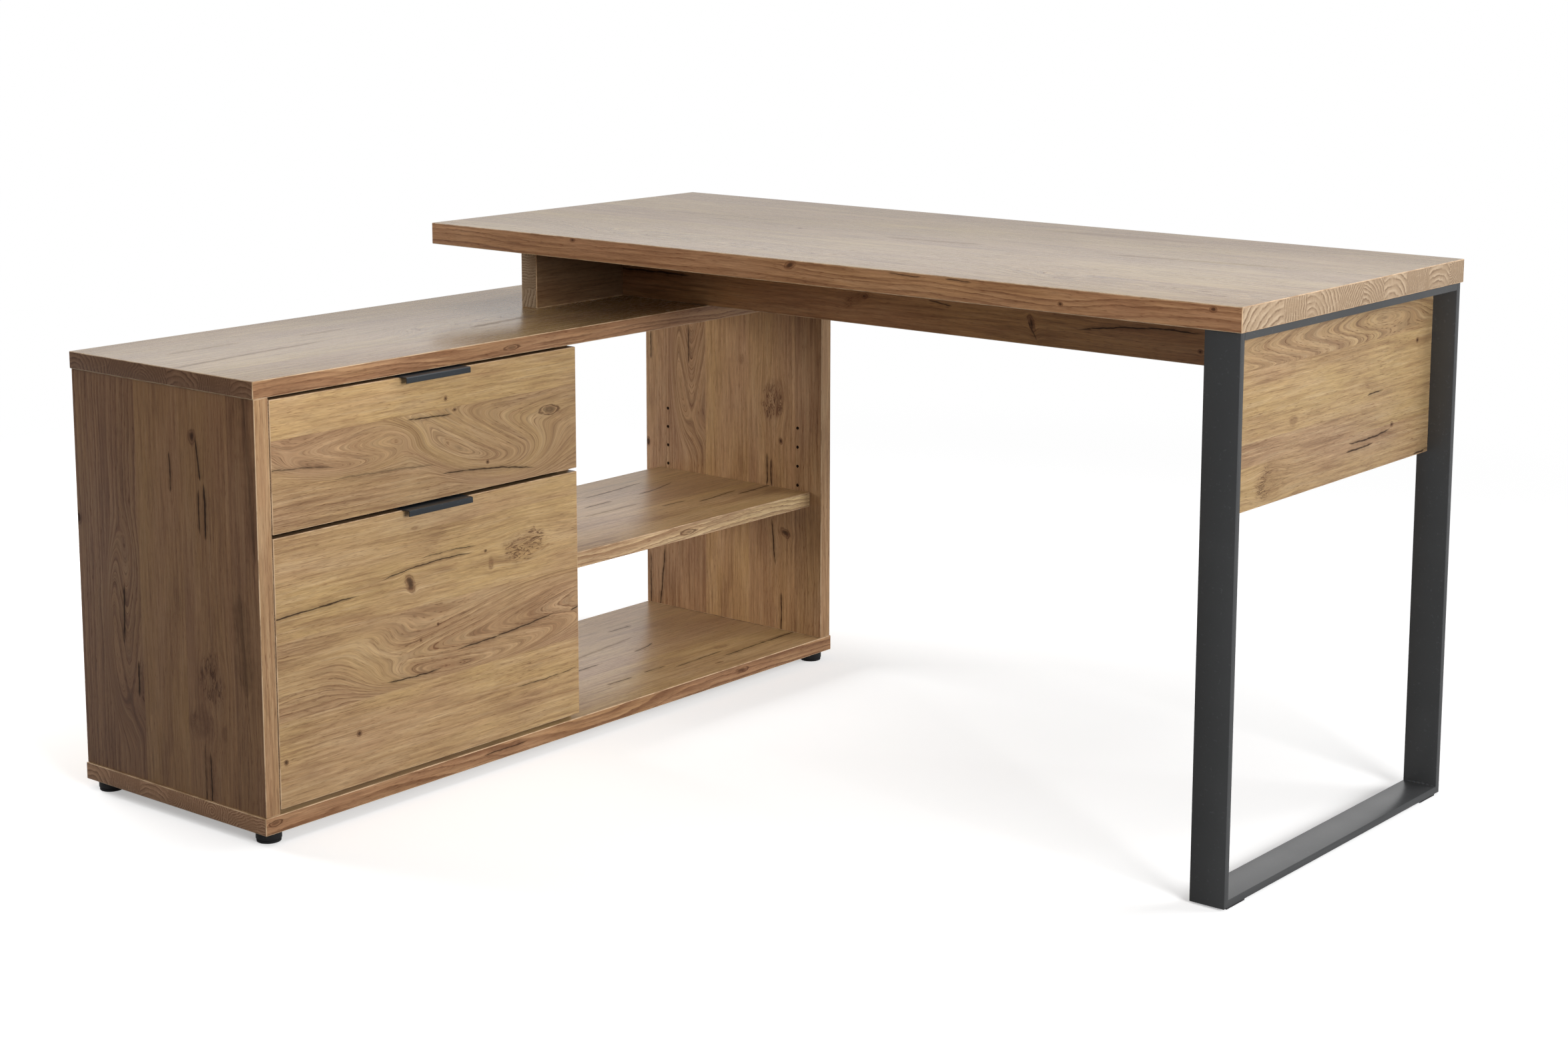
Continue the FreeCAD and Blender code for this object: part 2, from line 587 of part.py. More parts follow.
def make_brackets():
    """Angle brackets between the desk top and the boards under it."""
    half = "-bracket_width / 2"
    upright = block("bracket_upright", (half, "0", "-bracket_leg"),
                    ("bracket_width", "bracket_thick", "bracket_leg"))
    level = block("bracket_level", (half, "0", "-bracket_thick"),
                  ("bracket_width", "bracket_leg", "bracket_thick"))
    holes = [rod("bracket_wall_hole", ("0", "-1", "-bracket_hole"), SMALL_HOLE,
                 "bracket_thick + 2", "+Y"),
             rod("bracket_top_hole", ("0", "bracket_hole", "1"), SMALL_HOLE,
                 "bracket_thick + 2", "-Z")]
    bracket = cut("bracket", fuse("bracket_angle", [upright, level]), holes)
    facing_left = FreeCAD.Rotation(FreeCAD.Vector(0, 0, 1), 90)
    group("angle_brackets", bracket,
          [("+Z", x, "apron_rear", "top_under") for x in APRON_BRACKETS_X]
          + [(facing_left, "support_left", y, "top_under") for y in SUPPORT_BRACKETS_Y]
          + [(facing_left, "leg_left", y, "top_under") for y in PANEL_BRACKETS_Y])
    group("bracket_screws", SMALL_SCREW,
          [("+Y", x, f"{y} + bracket_thick", z) for x, y, z in APRON_BRACKET_HOLES]
          + [("-X", f"{x} - bracket_thick", y, z)
             for x, y, z in SUPPORT_BRACKET_HOLES + PANEL_BRACKET_HOLES]
          + [("-Z", x, y, f"{z} - bracket_thick") for x, y, z in TOP_BRACKET_HOLES])


# --- cabinet ------------------------------------------------------------------------------

PANEL_ROWS = ("cabinet_start + board_thick / 2", "bay_right + board_thick / 2",
              "open_right + board_thick / 2")
SIDE_DOWELS_X = spread("carcass_left + dowel_inset", "carcass_right - dowel_inset", 4)
DIVIDER_DOWELS_X = spread("carcass_left + dowel_inset", "divider_front - dowel_inset", 4)
PANEL_DOWELS = [(x, y) for y, line in zip(PANEL_ROWS, (SIDE_DOWELS_X, DIVIDER_DOWELS_X,
                                                       SIDE_DOWELS_X)) for x in line]
BAY_BACK_DOWELS = [("carcass_left + bay_back_thick / 2", z) for z in
                   spread("panel_bottom + dowel_inset", "panel_top - dowel_inset", 3)]
FEET = [(x, y) for x in ("plate_left + foot_inset", "plate_right - foot_inset")
        for y in ("cabinet_start - plate_end + foot_inset",
                  "cabinet_finish + plate_end - foot_inset")]
PIN_COLUMNS = ("carcass_left + pin_inset", "carcass_right - pin_inset")
PIN_ROWS = [f"shelf_under + {i} * pin_pitch" for i in range(5)]
PIN_HOLES = [(x, "0", z) for x in PIN_COLUMNS for z in PIN_ROWS]

DRAWERS = {
    "upper": ("upper_front_bottom", "upper_front_top", "upper_box_bottom", "upper_box_height"),
    "lower": ("lower_front_bottom", "lower_front_top", "lower_box_bottom", "lower_box_height"),
}
OUTER_SCREWS_X = spread("runner_rear + outer_screw_inset", "runner_front - outer_screw_inset", 3)
INNER_SCREWS_X = spread("box_rear + inner_screw_inset", "runner_front - inner_screw_inset", 3)
RUNNER_PILOT = "small_screw_length - runner_steel + hole_end"


def runner_line(box_bottom, box_height):
    """Height of a runner's middle line: half way up the drawer's sides."""
    return f"{box_bottom} + {box_height} / 2"


def make_cabinet():
    """Plates, panels, bay back, shelf, feet and dowels of the low cabinet."""
    ends = [(x, y, "0") for x, y in PANEL_DOWELS]
    plate = ("plate_depth", "cabinet_length + 2 * plate_end", "plate_thick")
    top = Board("cabinet_top", ("plate_left", "cabinet_start - plate_end", "panel_top"), plate)
    top.drill("bottom", ends, DOWEL_HOLE, FACE_DEPTH)
    top.drill("bottom", SUPPORT_SCREWS, "support_screw_radius + hole_play", "plate_thick")
    top.drill("bottom", SUPPORT_SCREWS, "support_screw_head_radius + hole_play",
              "support_screw_head")
    top.drill("top", [(x, "desk_middle", "0") for x in APRON_DOWELS_X], DOWEL_HOLE, FACE_DEPTH)

    base = Board("cabinet_base", ("plate_left", "cabinet_start - plate_end", "foot_height"), plate)
    base.drill("top", ends, DOWEL_HOLE, FACE_DEPTH)
    base.drill("bottom", [(x, y, "0") for x, y in FEET], "foot_screw_radius + hole_play",
               "foot_screw_length - foot_height + foot_recess + hole_end")

    tall = "panel_top - panel_bottom"
    runner_holes = [(x, "0", runner_line(bottom, height)) for x in OUTER_SCREWS_X
                    for low, high, bottom, height in DRAWERS.values()]
    bay_back_holes = [(x, "0", z) for x, z in BAY_BACK_DOWELS]
    for label, start, front, line, side in (
            ("left_side_panel", "cabinet_start", "carcass_right", SIDE_DOWELS_X, "back"),
            ("divider_panel", "bay_right", "divider_front", DIVIDER_DOWELS_X, "front"),
            ("right_side_panel", "open_right", "carcass_right", SIDE_DOWELS_X, None)):
        panel = Board(label, ("carcass_left", start, "panel_bottom"),
                      (f"{front} - carcass_left", "board_thick", tall))
        row = [(x, f"{start} + board_thick / 2", "0") for x in line]
        panel.drill("bottom", row, DOWEL_HOLE, END_DEPTH)
        panel.drill("top", row, DOWEL_HOLE, END_DEPTH)
        if side:
            panel.drill(side, bay_back_holes, DOWEL_HOLE, FACE_DEPTH)
            panel.drill(side, runner_holes, SMALL_HOLE, RUNNER_PILOT)
        if label != "left_side_panel":
            facing_bay = "back" if label == "divider_panel" else "front"
            panel.drill(facing_bay, PIN_HOLES, "pin_radius", "pin_depth")

    back = Board("drawer_bay_back", ("carcass_left", "bay_left", "panel_bottom"),
                 ("bay_back_thick", "drawer_bay", tall))
    back.drill("front", bay_back_holes, DOWEL_HOLE, END_DEPTH)
    back.drill("back", bay_back_holes, DOWEL_HOLE, END_DEPTH)

    Board("shelf", ("shelf_rear", "open_left + shelf_play", "shelf_under"),
          ("shelf_front - shelf_rear", "open_right - open_left - 2 * shelf_play", "shelf_thick"))

    group("carcass_dowels", DOWEL,
          [("-Z", x, y, "panel_bottom + dowel_length - dowel_face") for x, y in PANEL_DOWELS]
          + [("+Z", x, y, "panel_top - dowel_length + dowel_face") for x, y in PANEL_DOWELS]
          + [("+Y", x, "bay_left - dowel_face", z) for x, z in BAY_BACK_DOWELS]
          + [("-Y", x, "bay_right + dowel_face", z) for x, z in BAY_BACK_DOWELS])


def make_shelf_pins():
    """Four pins, each a stem with a short web and a tongue under the shelf."""
    stem = rod("pin_stem", ("0", "0", "0"), "pin_radius - pin_fit", "pin_depth - hole_end", "-Y")
    half = "-pin_tongue_width / 2"
    web = block("pin_web", (half, "0", "-pin_web"),
                ("pin_tongue_width", "pin_tongue_thick", "pin_web"))
    tongue = block("pin_tongue", (half, "0", "-pin_tongue_thick"),
                   ("pin_tongue_width", "pin_tongue", "pin_tongue_thick"))
    pin = fuse("shelf_pin", [stem, web, tongue])
    turned = FreeCAD.Rotation(FreeCAD.Vector(0, 0, 1), 180)
    group("shelf_pins", pin,
          [("+Z", x, "open_left", "shelf_under") for x in PIN_COLUMNS]
          + [(turned, x, "open_right", "shelf_under") for x in PIN_COLUMNS])


def make_feet():
    """Round feet with a stepped lower rim, each held by a screw from below."""
    body = rod("foot_body", ("0", "0", "foot_rim"), "foot_radius", "foot_height - foot_rim")
    rim = rod("foot_lower_rim", ("0", "0", "0"), "foot_radius - foot_step", "foot_rim")
    recess = rod("foot_recess_tool", ("0", "0", "-1"), "foot_recess_radius", "foot_recess + 1")
    hole = rod("foot_hole_tool", ("0", "0", "-1"), "foot_screw_radius + hole_play",
               "foot_height + 2")
    foot = cut("foot", fuse("foot_blank", [body, rim]), [recess, hole])
    group("cabinet_feet", foot, [("+Z", x, y, "0") for x, y in FEET])
    fixing = screw("foot_screw", "foot_screw_radius", "foot_screw_length",
                   "foot_head_radius", "foot_head")
    group("foot_screws", fixing, [("-Z", x, y, "foot_recess") for x, y in FEET])


# --- drawer runners -------------------------------------------------------------------------


def channel(label, ends, wall, depth, height, line, toward, screws):
    """A folded channel along X: a web and two flanges, with screw holes in the web.

    ends: rear and front place.  wall: place of the web's outer face.  toward: +1 if the
    flanges point to +Y and -1 if they point to -Y.  line: height of its middle line.
    """
    rear, front = ends
    low = wall if toward > 0 else f"({wall}) - ({depth})"
    hollow = f"({wall}) + runner_steel" if toward > 0 else f"({wall}) - ({depth}) - 1"
    length = f"({front}) - ({rear})"
    outer = block(label + "_blank", (rear, low, f"({line}) - ({height}) / 2"),
                  (length, depth, height))
    inner = block(label + "_hollow", (f"({rear}) - 1", hollow,
                                      f"({line}) - ({height}) / 2 + runner_steel"),
                  (f"{length} + 2", f"({depth}) - runner_steel + 1",
                   f"({height}) - 2 * runner_steel"))
    start = f"({wall}) - 1" if toward > 0 else f"({wall}) + 1"
    way = "+Y" if toward > 0 else "-Y"
    holes = [rod(f"{label}_hole_{i}", (x, start, line), SMALL_HOLE, "runner_steel + 2", way)
             for i, x in enumerate(screws)]
    return keep(cut(label, outer, [inner] + holes), label)


def make_runners(drawer, box_bottom, box_height):
    """Outer, middle and inner members at both sides of one drawer."""
    line = runner_line(box_bottom, box_height)
    middle_height = "runner_height - 2 * (runner_steel + runner_play)"
    inner_height = "runner_height - 4 * (runner_steel + runner_play)"
    for side, wall, toward in (("left", "bay_left", 1), ("right", "bay_right", -1)):
        sign = "+" if toward > 0 else "-"
        channel(f"{drawer}_runner_outer_{side}", ("runner_rear", "runner_front"), wall,
                "outer_member_depth", "runner_height", line, toward, OUTER_SCREWS_X)
        channel(f"{drawer}_runner_middle_{side}",
                ("runner_rear + middle_member_short", "runner_front"),
                f"{wall} {sign} middle_member_start", "middle_member_depth", middle_height,
                line, toward, [])
        channel(f"{drawer}_runner_inner_{side}", ("box_rear", "runner_front"),
                f"{wall} {sign} runner_space", "runner_space - inner_member_start",
                inner_height, line, -toward, INNER_SCREWS_X)
    group(f"{drawer}_inner_runner_screws", SMALL_SCREW,
          [("-Y", x, "box_left - runner_steel", line) for x in INNER_SCREWS_X]
          + [("+Y", x, "box_right + runner_steel", line) for x in INNER_SCREWS_X])


# --- drawers --------------------------------------------------------------------------------


def make_handle(drawer, top):
    """Angled edge pull over the front's top edge, screwed on from behind."""
    start = "front_middle - handle_length / 2"
    flange = block(f"{drawer}_handle_flange",
                   ("front_back - handle_thick", start, f"{top} - handle_drop"),
                   ("handle_thick", "handle_length", "handle_drop + handle_thick"))
    plate = block(f"{drawer}_handle_plate", ("front_back - handle_thick", start, top),
                  ("handle_thick + front_thick + handle_reach", "handle_length", "handle_thick"))
    lip = block(f"{drawer}_handle_lip",
                ("carcass_right + handle_reach - handle_thick", start,
                 f"{top} + handle_thick - handle_lip"),
                ("handle_thick", "handle_length", "handle_lip"))
    spots = [("front_back", y, f"{top} - handle_screw_drop") for y in
             spread(f"{start} + handle_screw_inset",
                    "front_middle + handle_length / 2 - handle_screw_inset", 2)]
    holes = [rod(f"{drawer}_handle_hole_{i}", ("front_back + 1", y, z), SMALL_HOLE,
                 "handle_thick + 2", "-X") for i, (x, y, z) in enumerate(spots)]
    angle = fuse(f"{drawer}_handle_angle", [flange, plate, lip])
    keep(cut(f"{drawer}_drawer_handle", angle, holes), f"{drawer}_drawer_handle")
    group(f"{drawer}_handle_screws", SMALL_SCREW,
          [("-X", "front_back - handle_thick", y, z) for x, y, z in spots])
    return spots


def make_drawer(drawer, low, top, bottom, height):
    """Front, handle and box of one drawer."""
    handle_spots = make_handle(drawer, top)
    inset = "box_dowel_inset"
    dowels_z = spread(f"{bottom} + {inset}", f"{bottom} + {height} - {inset}", 2)
    side_lines = ("box_left + box_side_thick / 2", "box_inner_right + box_side_thick / 2")
    front_dowels = [("front_back", y, z) for y in side_lines for z in dowels_z]
    back_dowels = [("box_rear + box_side_thick / 2", z) for z in dowels_z]
    slot_height = "box_bottom_thick + groove_play"
    slot_z = f"{bottom} + box_bottom_lift"
    line = runner_line(bottom, height)

    front = Board(f"{drawer}_drawer_front", ("front_back", "front_start", low),
                  ("front_thick", "front_finish - front_start", f"{top} - {low}"))
    front.drill("left", front_dowels, BOX_DOWEL_HOLE, BOX_FACE_DEPTH)
    front.drill("left", handle_spots, SMALL_HOLE, "small_screw_length - handle_thick + hole_end")
    front.groove("left", ("front_back", "box_inner_left - groove_depth", slot_z),
                 ("box_inner_right - box_inner_left + 2 * groove_depth", slot_height),
                 "groove_depth")

    for side, start, inner, outer in (("left", "box_left", "back", "front"),
                                      ("right", "box_inner_right", "front", "back")):
        board = Board(f"{drawer}_box_side_{side}", ("box_rear", start, bottom),
                      ("front_back - box_rear", "box_side_thick", height))
        board.drill("right", [("0", f"{start} + box_side_thick / 2", z) for z in dowels_z],
                    BOX_DOWEL_HOLE, BOX_END_DEPTH)
        board.drill(inner, [(x, "0", z) for x, z in back_dowels], BOX_DOWEL_HOLE, BOX_FACE_DEPTH)
        board.drill(outer, [(x, "0", line) for x in INNER_SCREWS_X], SMALL_HOLE, RUNNER_PILOT)
        board.groove(inner, ("0", "0", slot_z), ("front_back - box_rear", slot_height),
                     "groove_depth")

    back_bottom = f"{bottom} + box_bottom_lift + box_bottom_thick + groove_play"
    back = Board(f"{drawer}_box_back", ("box_rear", "box_inner_left", back_bottom),
                 ("box_side_thick", "box_inner_right - box_inner_left",
                  f"{bottom} + {height} - ({back_bottom})"))
    for end in ("front", "back"):
        back.drill(end, [(x, "0", z) for x, z in back_dowels], BOX_DOWEL_HOLE, BOX_END_DEPTH)

    reach = "groove_depth - groove_end"
    keep(block(f"{drawer}_box_bottom", ("box_rear", f"box_inner_left - ({reach})",
                                        f"{slot_z} + groove_play / 2"),
               (f"front_back - box_rear + {reach}",
                f"box_inner_right - box_inner_left + 2 * ({reach})", "box_bottom_thick")),
         f"{drawer}_box_bottom")

    group(f"{drawer}_box_dowels", BOX_DOWEL,
          [("-X", "front_back + box_dowel_face", y, z) for x, y, z in front_dowels]
          + [("+Y", x, "box_inner_left - box_dowel_face", z) for x, z in back_dowels]
          + [("-Y", x, "box_inner_right + box_dowel_face", z) for x, z in back_dowels])


# --- build, check and write -----------------------------------------------------------------


def check_cuts():
    """Every drilled or grooved cut takes away the volume that its sketch and depth ask for."""
    for before, sketch, pocket in CUTS:
        area = sum(Part.Face(wire).Area for wire in sketch.Shape.Wires)
        wanted = area * pocket.Length.Value
        taken = before.Shape.Volume - pocket.Shape.Volume
        if not 0.25 * wanted < taken < 1.01 * wanted:
            raise RuntimeError(f"{pocket.Label} takes {taken:.0f} of {wanted:.0f} cubic mm")


def check_document():
    """No object has failed, and each sub-part is a valid shape."""
    for thing in DOC.Objects:
        if "Invalid" in thing.State or "Error" in thing.State:
            raise RuntimeError(f"{thing.Label} did not compute")
    for part in SUBPARTS:
        if part.Shape.isNull() or not part.Shape.isValid():
            raise RuntimeError(f"{part.Label} has no valid shape")


def write_parts():
    """Write each sub-part to its own file."""
    os.makedirs("parts", exist_ok=True)
    for part in SUBPARTS:
        part.Shape.exportStep(os.path.join("parts", part.Label + ".step"))
        box = part.Shape.BoundBox
        print(f"{part.Label:32s} {len(part.Shape.Solids):3d} solid(s)"
              f"  x {box.XMin:8.1f} {box.XMax:8.1f}  y {box.YMin:8.1f} {box.YMax:8.1f}"
              f"  z {box.ZMin:7.1f} {box.ZMax:7.1f}")


make_desk()
make_leg()
make_brackets()
make_cabinet()
make_shelf_pins()
make_feet()
for drawer_name, heights in DRAWERS.items():
    make_runners(drawer_name, heights[2], heights[3])
    make_drawer(drawer_name, *heights)
group("outer_runner_screws", SMALL_SCREW,
      [("+Y", x, "bay_left + runner_steel", runner_line(bottom, height))
       for x in OUTER_SCREWS_X for low, high, bottom, height in DRAWERS.values()]
      + [("-Y", x, "bay_right - runner_steel", runner_line(bottom, height))
         for x in OUTER_SCREWS_X for low, high, bottom, height in DRAWERS.values()])

DOC.recompute()
check_document()
check_cuts()
write_parts()
print(len(SUBPARTS), "sub-parts")
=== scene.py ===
"""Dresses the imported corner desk: oak decor boards, anthracite steel, drawers and a pale studio."""

import json
import logging
import math
from collections.abc import Callable, Sequence
from dataclasses import asdict, dataclass, field, replace
from enum import Enum, IntEnum
from typing import Any

import bpy
import numpy as np
from mathutils import Euler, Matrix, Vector

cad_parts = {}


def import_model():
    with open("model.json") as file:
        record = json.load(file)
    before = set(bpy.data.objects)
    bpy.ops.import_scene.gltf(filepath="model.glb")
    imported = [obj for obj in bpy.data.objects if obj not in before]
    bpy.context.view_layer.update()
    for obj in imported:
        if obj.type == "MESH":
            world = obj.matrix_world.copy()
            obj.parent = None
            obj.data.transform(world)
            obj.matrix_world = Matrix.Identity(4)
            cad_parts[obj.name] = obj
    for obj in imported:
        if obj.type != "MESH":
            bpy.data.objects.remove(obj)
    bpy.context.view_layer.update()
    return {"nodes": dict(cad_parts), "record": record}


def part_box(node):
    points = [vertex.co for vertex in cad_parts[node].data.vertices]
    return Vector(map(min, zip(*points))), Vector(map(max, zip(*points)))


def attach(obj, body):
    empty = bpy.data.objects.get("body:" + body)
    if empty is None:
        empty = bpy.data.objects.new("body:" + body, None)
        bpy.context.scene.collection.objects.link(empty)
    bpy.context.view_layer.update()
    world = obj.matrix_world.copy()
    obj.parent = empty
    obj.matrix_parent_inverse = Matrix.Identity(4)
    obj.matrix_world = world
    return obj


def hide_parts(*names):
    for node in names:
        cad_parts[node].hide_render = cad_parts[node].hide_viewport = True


log = logging.getLogger("corner_desk")

Colour = tuple[float, float, float, float]
Point = tuple[float, float, float]
Shade = tuple[int, int, int]
Faces = list[list[int]]
Material = bpy.types.Material
Socket = bpy.types.NodeSocket

MM = 0.001
REST = 1e4
GRAIN_ATTRIBUTE = "grain"
WHITE = (1.0, 1.0, 1.0, 1.0)


def linear(red: float, green: float, blue: float) -> Colour:
    """Turns screen values into linear light by the sRGB curve.

    Args:
        red: Red on the 0 to 255 screen scale.
        green: Green on the same scale.
        blue: Blue on the same scale.

    Returns:
        The colour in linear light, with an alpha of 1.
    """
    share = np.array([red, green, blue]) / 255.0
    light = np.where(share <= 0.04045, share / 12.92, ((share + 0.055) / 1.055) ** 2.4)
    return (float(light[0]), float(light[1]), float(light[2]), 1.0)


class Axis(Enum):
    """An axis of the row frame, by its place in a coordinate."""

    X = 0
    Y = 1
    Z = 2


# ---------------------------------------------------------------------------
# Node trees
# ---------------------------------------------------------------------------


@dataclass
class Graph:
    """Adds nodes to one node tree and links them, so that a shader reads as a formula."""

    tree: bpy.types.NodeTree

    def node(self, kind: str, **settings: Any) -> bpy.types.Node:
        """Adds a node and sets its properties.

        Args:
            kind: The node's type name without its ShaderNode prefix.
            settings: Properties of the node.

        Returns:
            The new node.
        """
        made = self.tree.nodes.new("ShaderNode" + kind)
        for name, value in settings.items():
            setattr(made, name, value)
        return made

    def feed(self, target: Socket, value: Any) -> None:
        """Links a socket to target, or writes a plain value into it.

        Args:
            target: The input socket.
            value: An output socket, or the value itself.
        """
        if isinstance(value, bpy.types.NodeSocket):
            self.tree.links.new(value, target)
        else:
            target.default_value = value

    def math(self, operation: str, *values: Any, clamp: bool = False) -> Socket:
        """One Math node.

        Args:
            operation: The Math node's operation.
            values: Sockets or numbers, in the node's order.
            clamp: Keeps the result from 0 to 1.

        Returns:
            The result's socket.
        """
        made = self.node("Math", operation=operation, use_clamp=clamp)
        for target, value in zip(made.inputs, values):
            self.feed(target, value)
        return made.outputs[0]

    def length(self, first: Any, second: Any) -> Socket:
        """The root of the sum of two squares."""
        m = self.math
        return m("SQRT", m("ADD", m("MULTIPLY", first, first), m("MULTIPLY", second, second)))

    def sway(self, noise: Socket, reach: Any, base: Any) -> Socket:
        """A base moved by a noise about its mean: base + reach (noise - 0.5)."""
        return self.math("MULTIPLY_ADD", self.math("SUBTRACT", noise, 0.5), reach, base)

    def step(self, value: Any, start: Any, stop: Any, low: Any = 0.0, high: Any = 1.0) -> Socket:
        """A smooth step: low before start, high past stop.

        Args:
            value: What is stepped.
            start: Where the step begins.
            stop: Where it ends, which may lie below start.
            low: The result before the step.
            high: The result past it.

        Returns:
            The step's socket.
        """
        made = self.node("MapRange", interpolation_type="SMOOTHSTEP")
        names = ("Value", "From Min", "From Max", "To Min", "To Max")
        for name, given in zip(names, (value, start, stop, low, high)):
            self.feed(made.inputs[name], given)
        return made.outputs["Result"]

    def vector(self, x: Any, y: Any, z: Any) -> Socket:
        """Joins three values into a vector.

        Args:
            x: The first value.
            y: The second.
            z: The third.

        Returns:
            The vector's socket.
        """
        made = self.node("CombineXYZ")
        for target, value in zip(made.inputs, (x, y, z)):
            self.feed(target, value)
        return made.outputs[0]

    def parts(self, vector: Socket) -> tuple[Socket, Socket, Socket]:
        """Splits a vector into its three values.

        Args:
            vector: The vector.

        Returns:
            The sockets of its values.
        """
        made = self.node("SeparateXYZ")
        self.feed(made.inputs[0], vector)
        return made.outputs[0], made.outputs[1], made.outputs[2]

    def stretch(self, vector: Socket, scale: Point, offset: Any = (0.0, 0.0, 0.0)) -> Socket:
        """A vector times a scale plus an offset.

        Args:
            vector: The vector.
            scale: The factor of each of its values.
            offset: What is added to each.

        Returns:
            The result's socket.
        """
        made = self.node("VectorMath", operation="MULTIPLY_ADD")
        for target, value in zip(made.inputs, (vector, scale, offset)):
            self.feed(target, value)
        return made.outputs[0]

    def scaled(self, vector: Socket, factor: Any) -> Socket:
        """A vector or a colour times one factor.

        Args:
            vector: The vector or colour.
            factor: The factor of all its values.

        Returns:
            The result's socket.
        """
        made = self.node("VectorMath", operation="SCALE")
        self.feed(made.inputs[0], vector)
        self.feed(made.inputs["Scale"], factor)
        return made.outputs[0]

    def noise(
        self, vector: Socket, detail: float = 2.0, roughness: float = 0.5, distortion: float = 0.0
    ) -> Socket:
        """Noise from 0 to 1 with a mean of 0.5 and about one feature per unit of the vector.

        Args:
            vector: Where it is read.
            detail: Octaves.
            roughness: How much the finer octaves weigh.
            distortion: How far the pattern swirls.

        Returns:
            The noise's socket.
        """
        made = self.node("TexNoise")
        names = ("Vector", "Scale", "Detail", "Roughness", "Distortion")
        for name, value in zip(names, (vector, 1.0, detail, roughness, distortion)):
            self.feed(made.inputs[name], value)
        return made.outputs[0]

    def mix(self, share: Any, first: Any, second: Any, blend: str = "MIX") -> Socket:
        """Mixes two colours.

        Args:
            share: How much of the second shows.
            first: The colour at 0.
            second: The colour at 1.
            blend: The Mix node's blend type.

        Returns:
            The mixed colour's socket.
        """
        made = self.node("Mix", data_type="RGBA", blend_type=blend)
        for index, value in ((0, share), (6, first), (7, second)):
            self.feed(made.inputs[index], value)
        return made.outputs[2]

    def group(self, tree: bpy.types.NodeTree, **inputs: Any) -> bpy.types.Node:
        """Places a node group with its own values.

        Args:
            tree: The group's tree.
            inputs: Values or sockets by input name.

        Returns:
            The group's node.
        """
        made = self.node("Group", node_tree=tree)
        for name, value in inputs.items():
            self.feed(made.inputs[name], value)
        return made

    def finish(self, kind: str, shader: bpy.types.Node) -> None:
        """Links a shader to the tree's new output, OutputMaterial or OutputWorld."""
        self.tree.links.new(shader.outputs[0], self.node(kind).inputs[0])

    def grain(self) -> Socket:
        """The piece's own grain coordinates: along the grain, across it and through the board."""
        return self.node("Attribute", attribute_name=GRAIN_ATTRIBUTE).outputs["Vector"]

    def place(self) -> Socket:
        """The piece's Object coordinates."""
        return self.node("TexCoord").outputs["Object"]


SOCKET_KINDS = {"Place": "Vector", "Colour": "Color"}


def empty_graph(owner: Any) -> Graph:
    """Switches on a material's or a world's nodes and takes the first ones away.

    Args:
        owner: The material or world.

    Returns:
        The graph of its empty tree.
    """
    owner.use_nodes = True
    owner.node_tree.nodes.clear()
    return Graph(owner.node_tree)


def new_group(
    name: str, inputs: Sequence[str], outputs: Sequence[str]
) -> tuple[Graph, bpy.types.NodeOutputs, bpy.types.NodeInputs]:
    """Makes an empty node group with named sockets.

    A socket called Place is a vector, one called Colour is a colour, and all others are numbers.

    Args:
        name: The group's name.
        inputs: The names of what it is given.
        outputs: The names of what it puts out.

    Returns:
        The group's graph, the sockets that its tree reads and the ones that it writes.
    """
    tree = bpy.data.node_groups.new(name, "ShaderNodeTree")
    for side, labels in (("INPUT", inputs), ("OUTPUT", outputs)):
        for label in labels:
            kind = "NodeSocket" + SOCKET_KINDS.get(label, "Float")
            tree.interface.new_socket(label, in_out=side, socket_type=kind)
    reads = tree.nodes.new("NodeGroupInput")
    writes = tree.nodes.new("NodeGroupOutput")
    return Graph(tree), reads.outputs, writes.inputs


# ---------------------------------------------------------------------------
# Oak decor: what grows in it
# ---------------------------------------------------------------------------


def as_inputs(values: dict[str, float]) -> dict[str, float]:
    """Names numbers as a group's inputs, with a capital."""
    return {name.capitalize(): value for name, value in values.items()}


def metres(thing: Any, names: Sequence[str]) -> dict[str, float]:
    """The named fields of a feature, from millimetres to metres."""
    return {name: getattr(thing, name) * MM for name in names}


@dataclass(frozen=True)
class KnotLook:
    """How one kind of knot shows: how hard it bends the grain, and the shares of what it is made of."""

    push: float
    body: float
    rings: float
    rim: float
    heart: float
    feather: float


class KnotKind(Enum):
    """The kinds of knot in the decor."""

    EYE = KnotLook(push=0.9, body=0.12, rings=0.5, rim=0.8, heart=0.5, feather=0.0)
    PIN = KnotLook(push=0.7, body=0.6, rings=0.3, rim=0.3, heart=0.8, feather=0.25)
    FEATHER = KnotLook(push=0.5, body=0.3, rings=0.0, rim=0.0, heart=0.0, feather=1.3)
    SMUDGE = KnotLook(push=0.3, body=0.4, rings=0.1, rim=0.0, heart=0.0, feather=0.35)


@dataclass(frozen=True)
class Knot:
    """A knot: its centre from the board's corner and its half lengths in millimetres, turned in degrees."""

    along: float
    across: float
    length: float
    width: float
    kind: KnotKind = KnotKind.PIN
    turn: float = 0.0

    def values(self) -> dict[str, float]:
        """The knot as inputs of its node group."""
        sizes = metres(self, ("along", "across", "length", "width"))
        return as_inputs(sizes | {"turn": math.radians(self.turn)} | asdict(self.kind.value))


@dataclass(frozen=True)
class Crack:
    """A drying crack: where it starts and ends along the grain and its line across it, in millimetres."""

    start: float
    end: float
    across: float
    rise: float = 0.0
    bow: float = 0.0
    width: float = 2.0
    dark: float = 1.0

    def values(self) -> dict[str, float]:
        """The crack as inputs of its node group."""
        sizes = metres(self, ("start", "end", "across", "rise", "bow", "width"))
        return as_inputs(sizes | {"dark": self.dark})


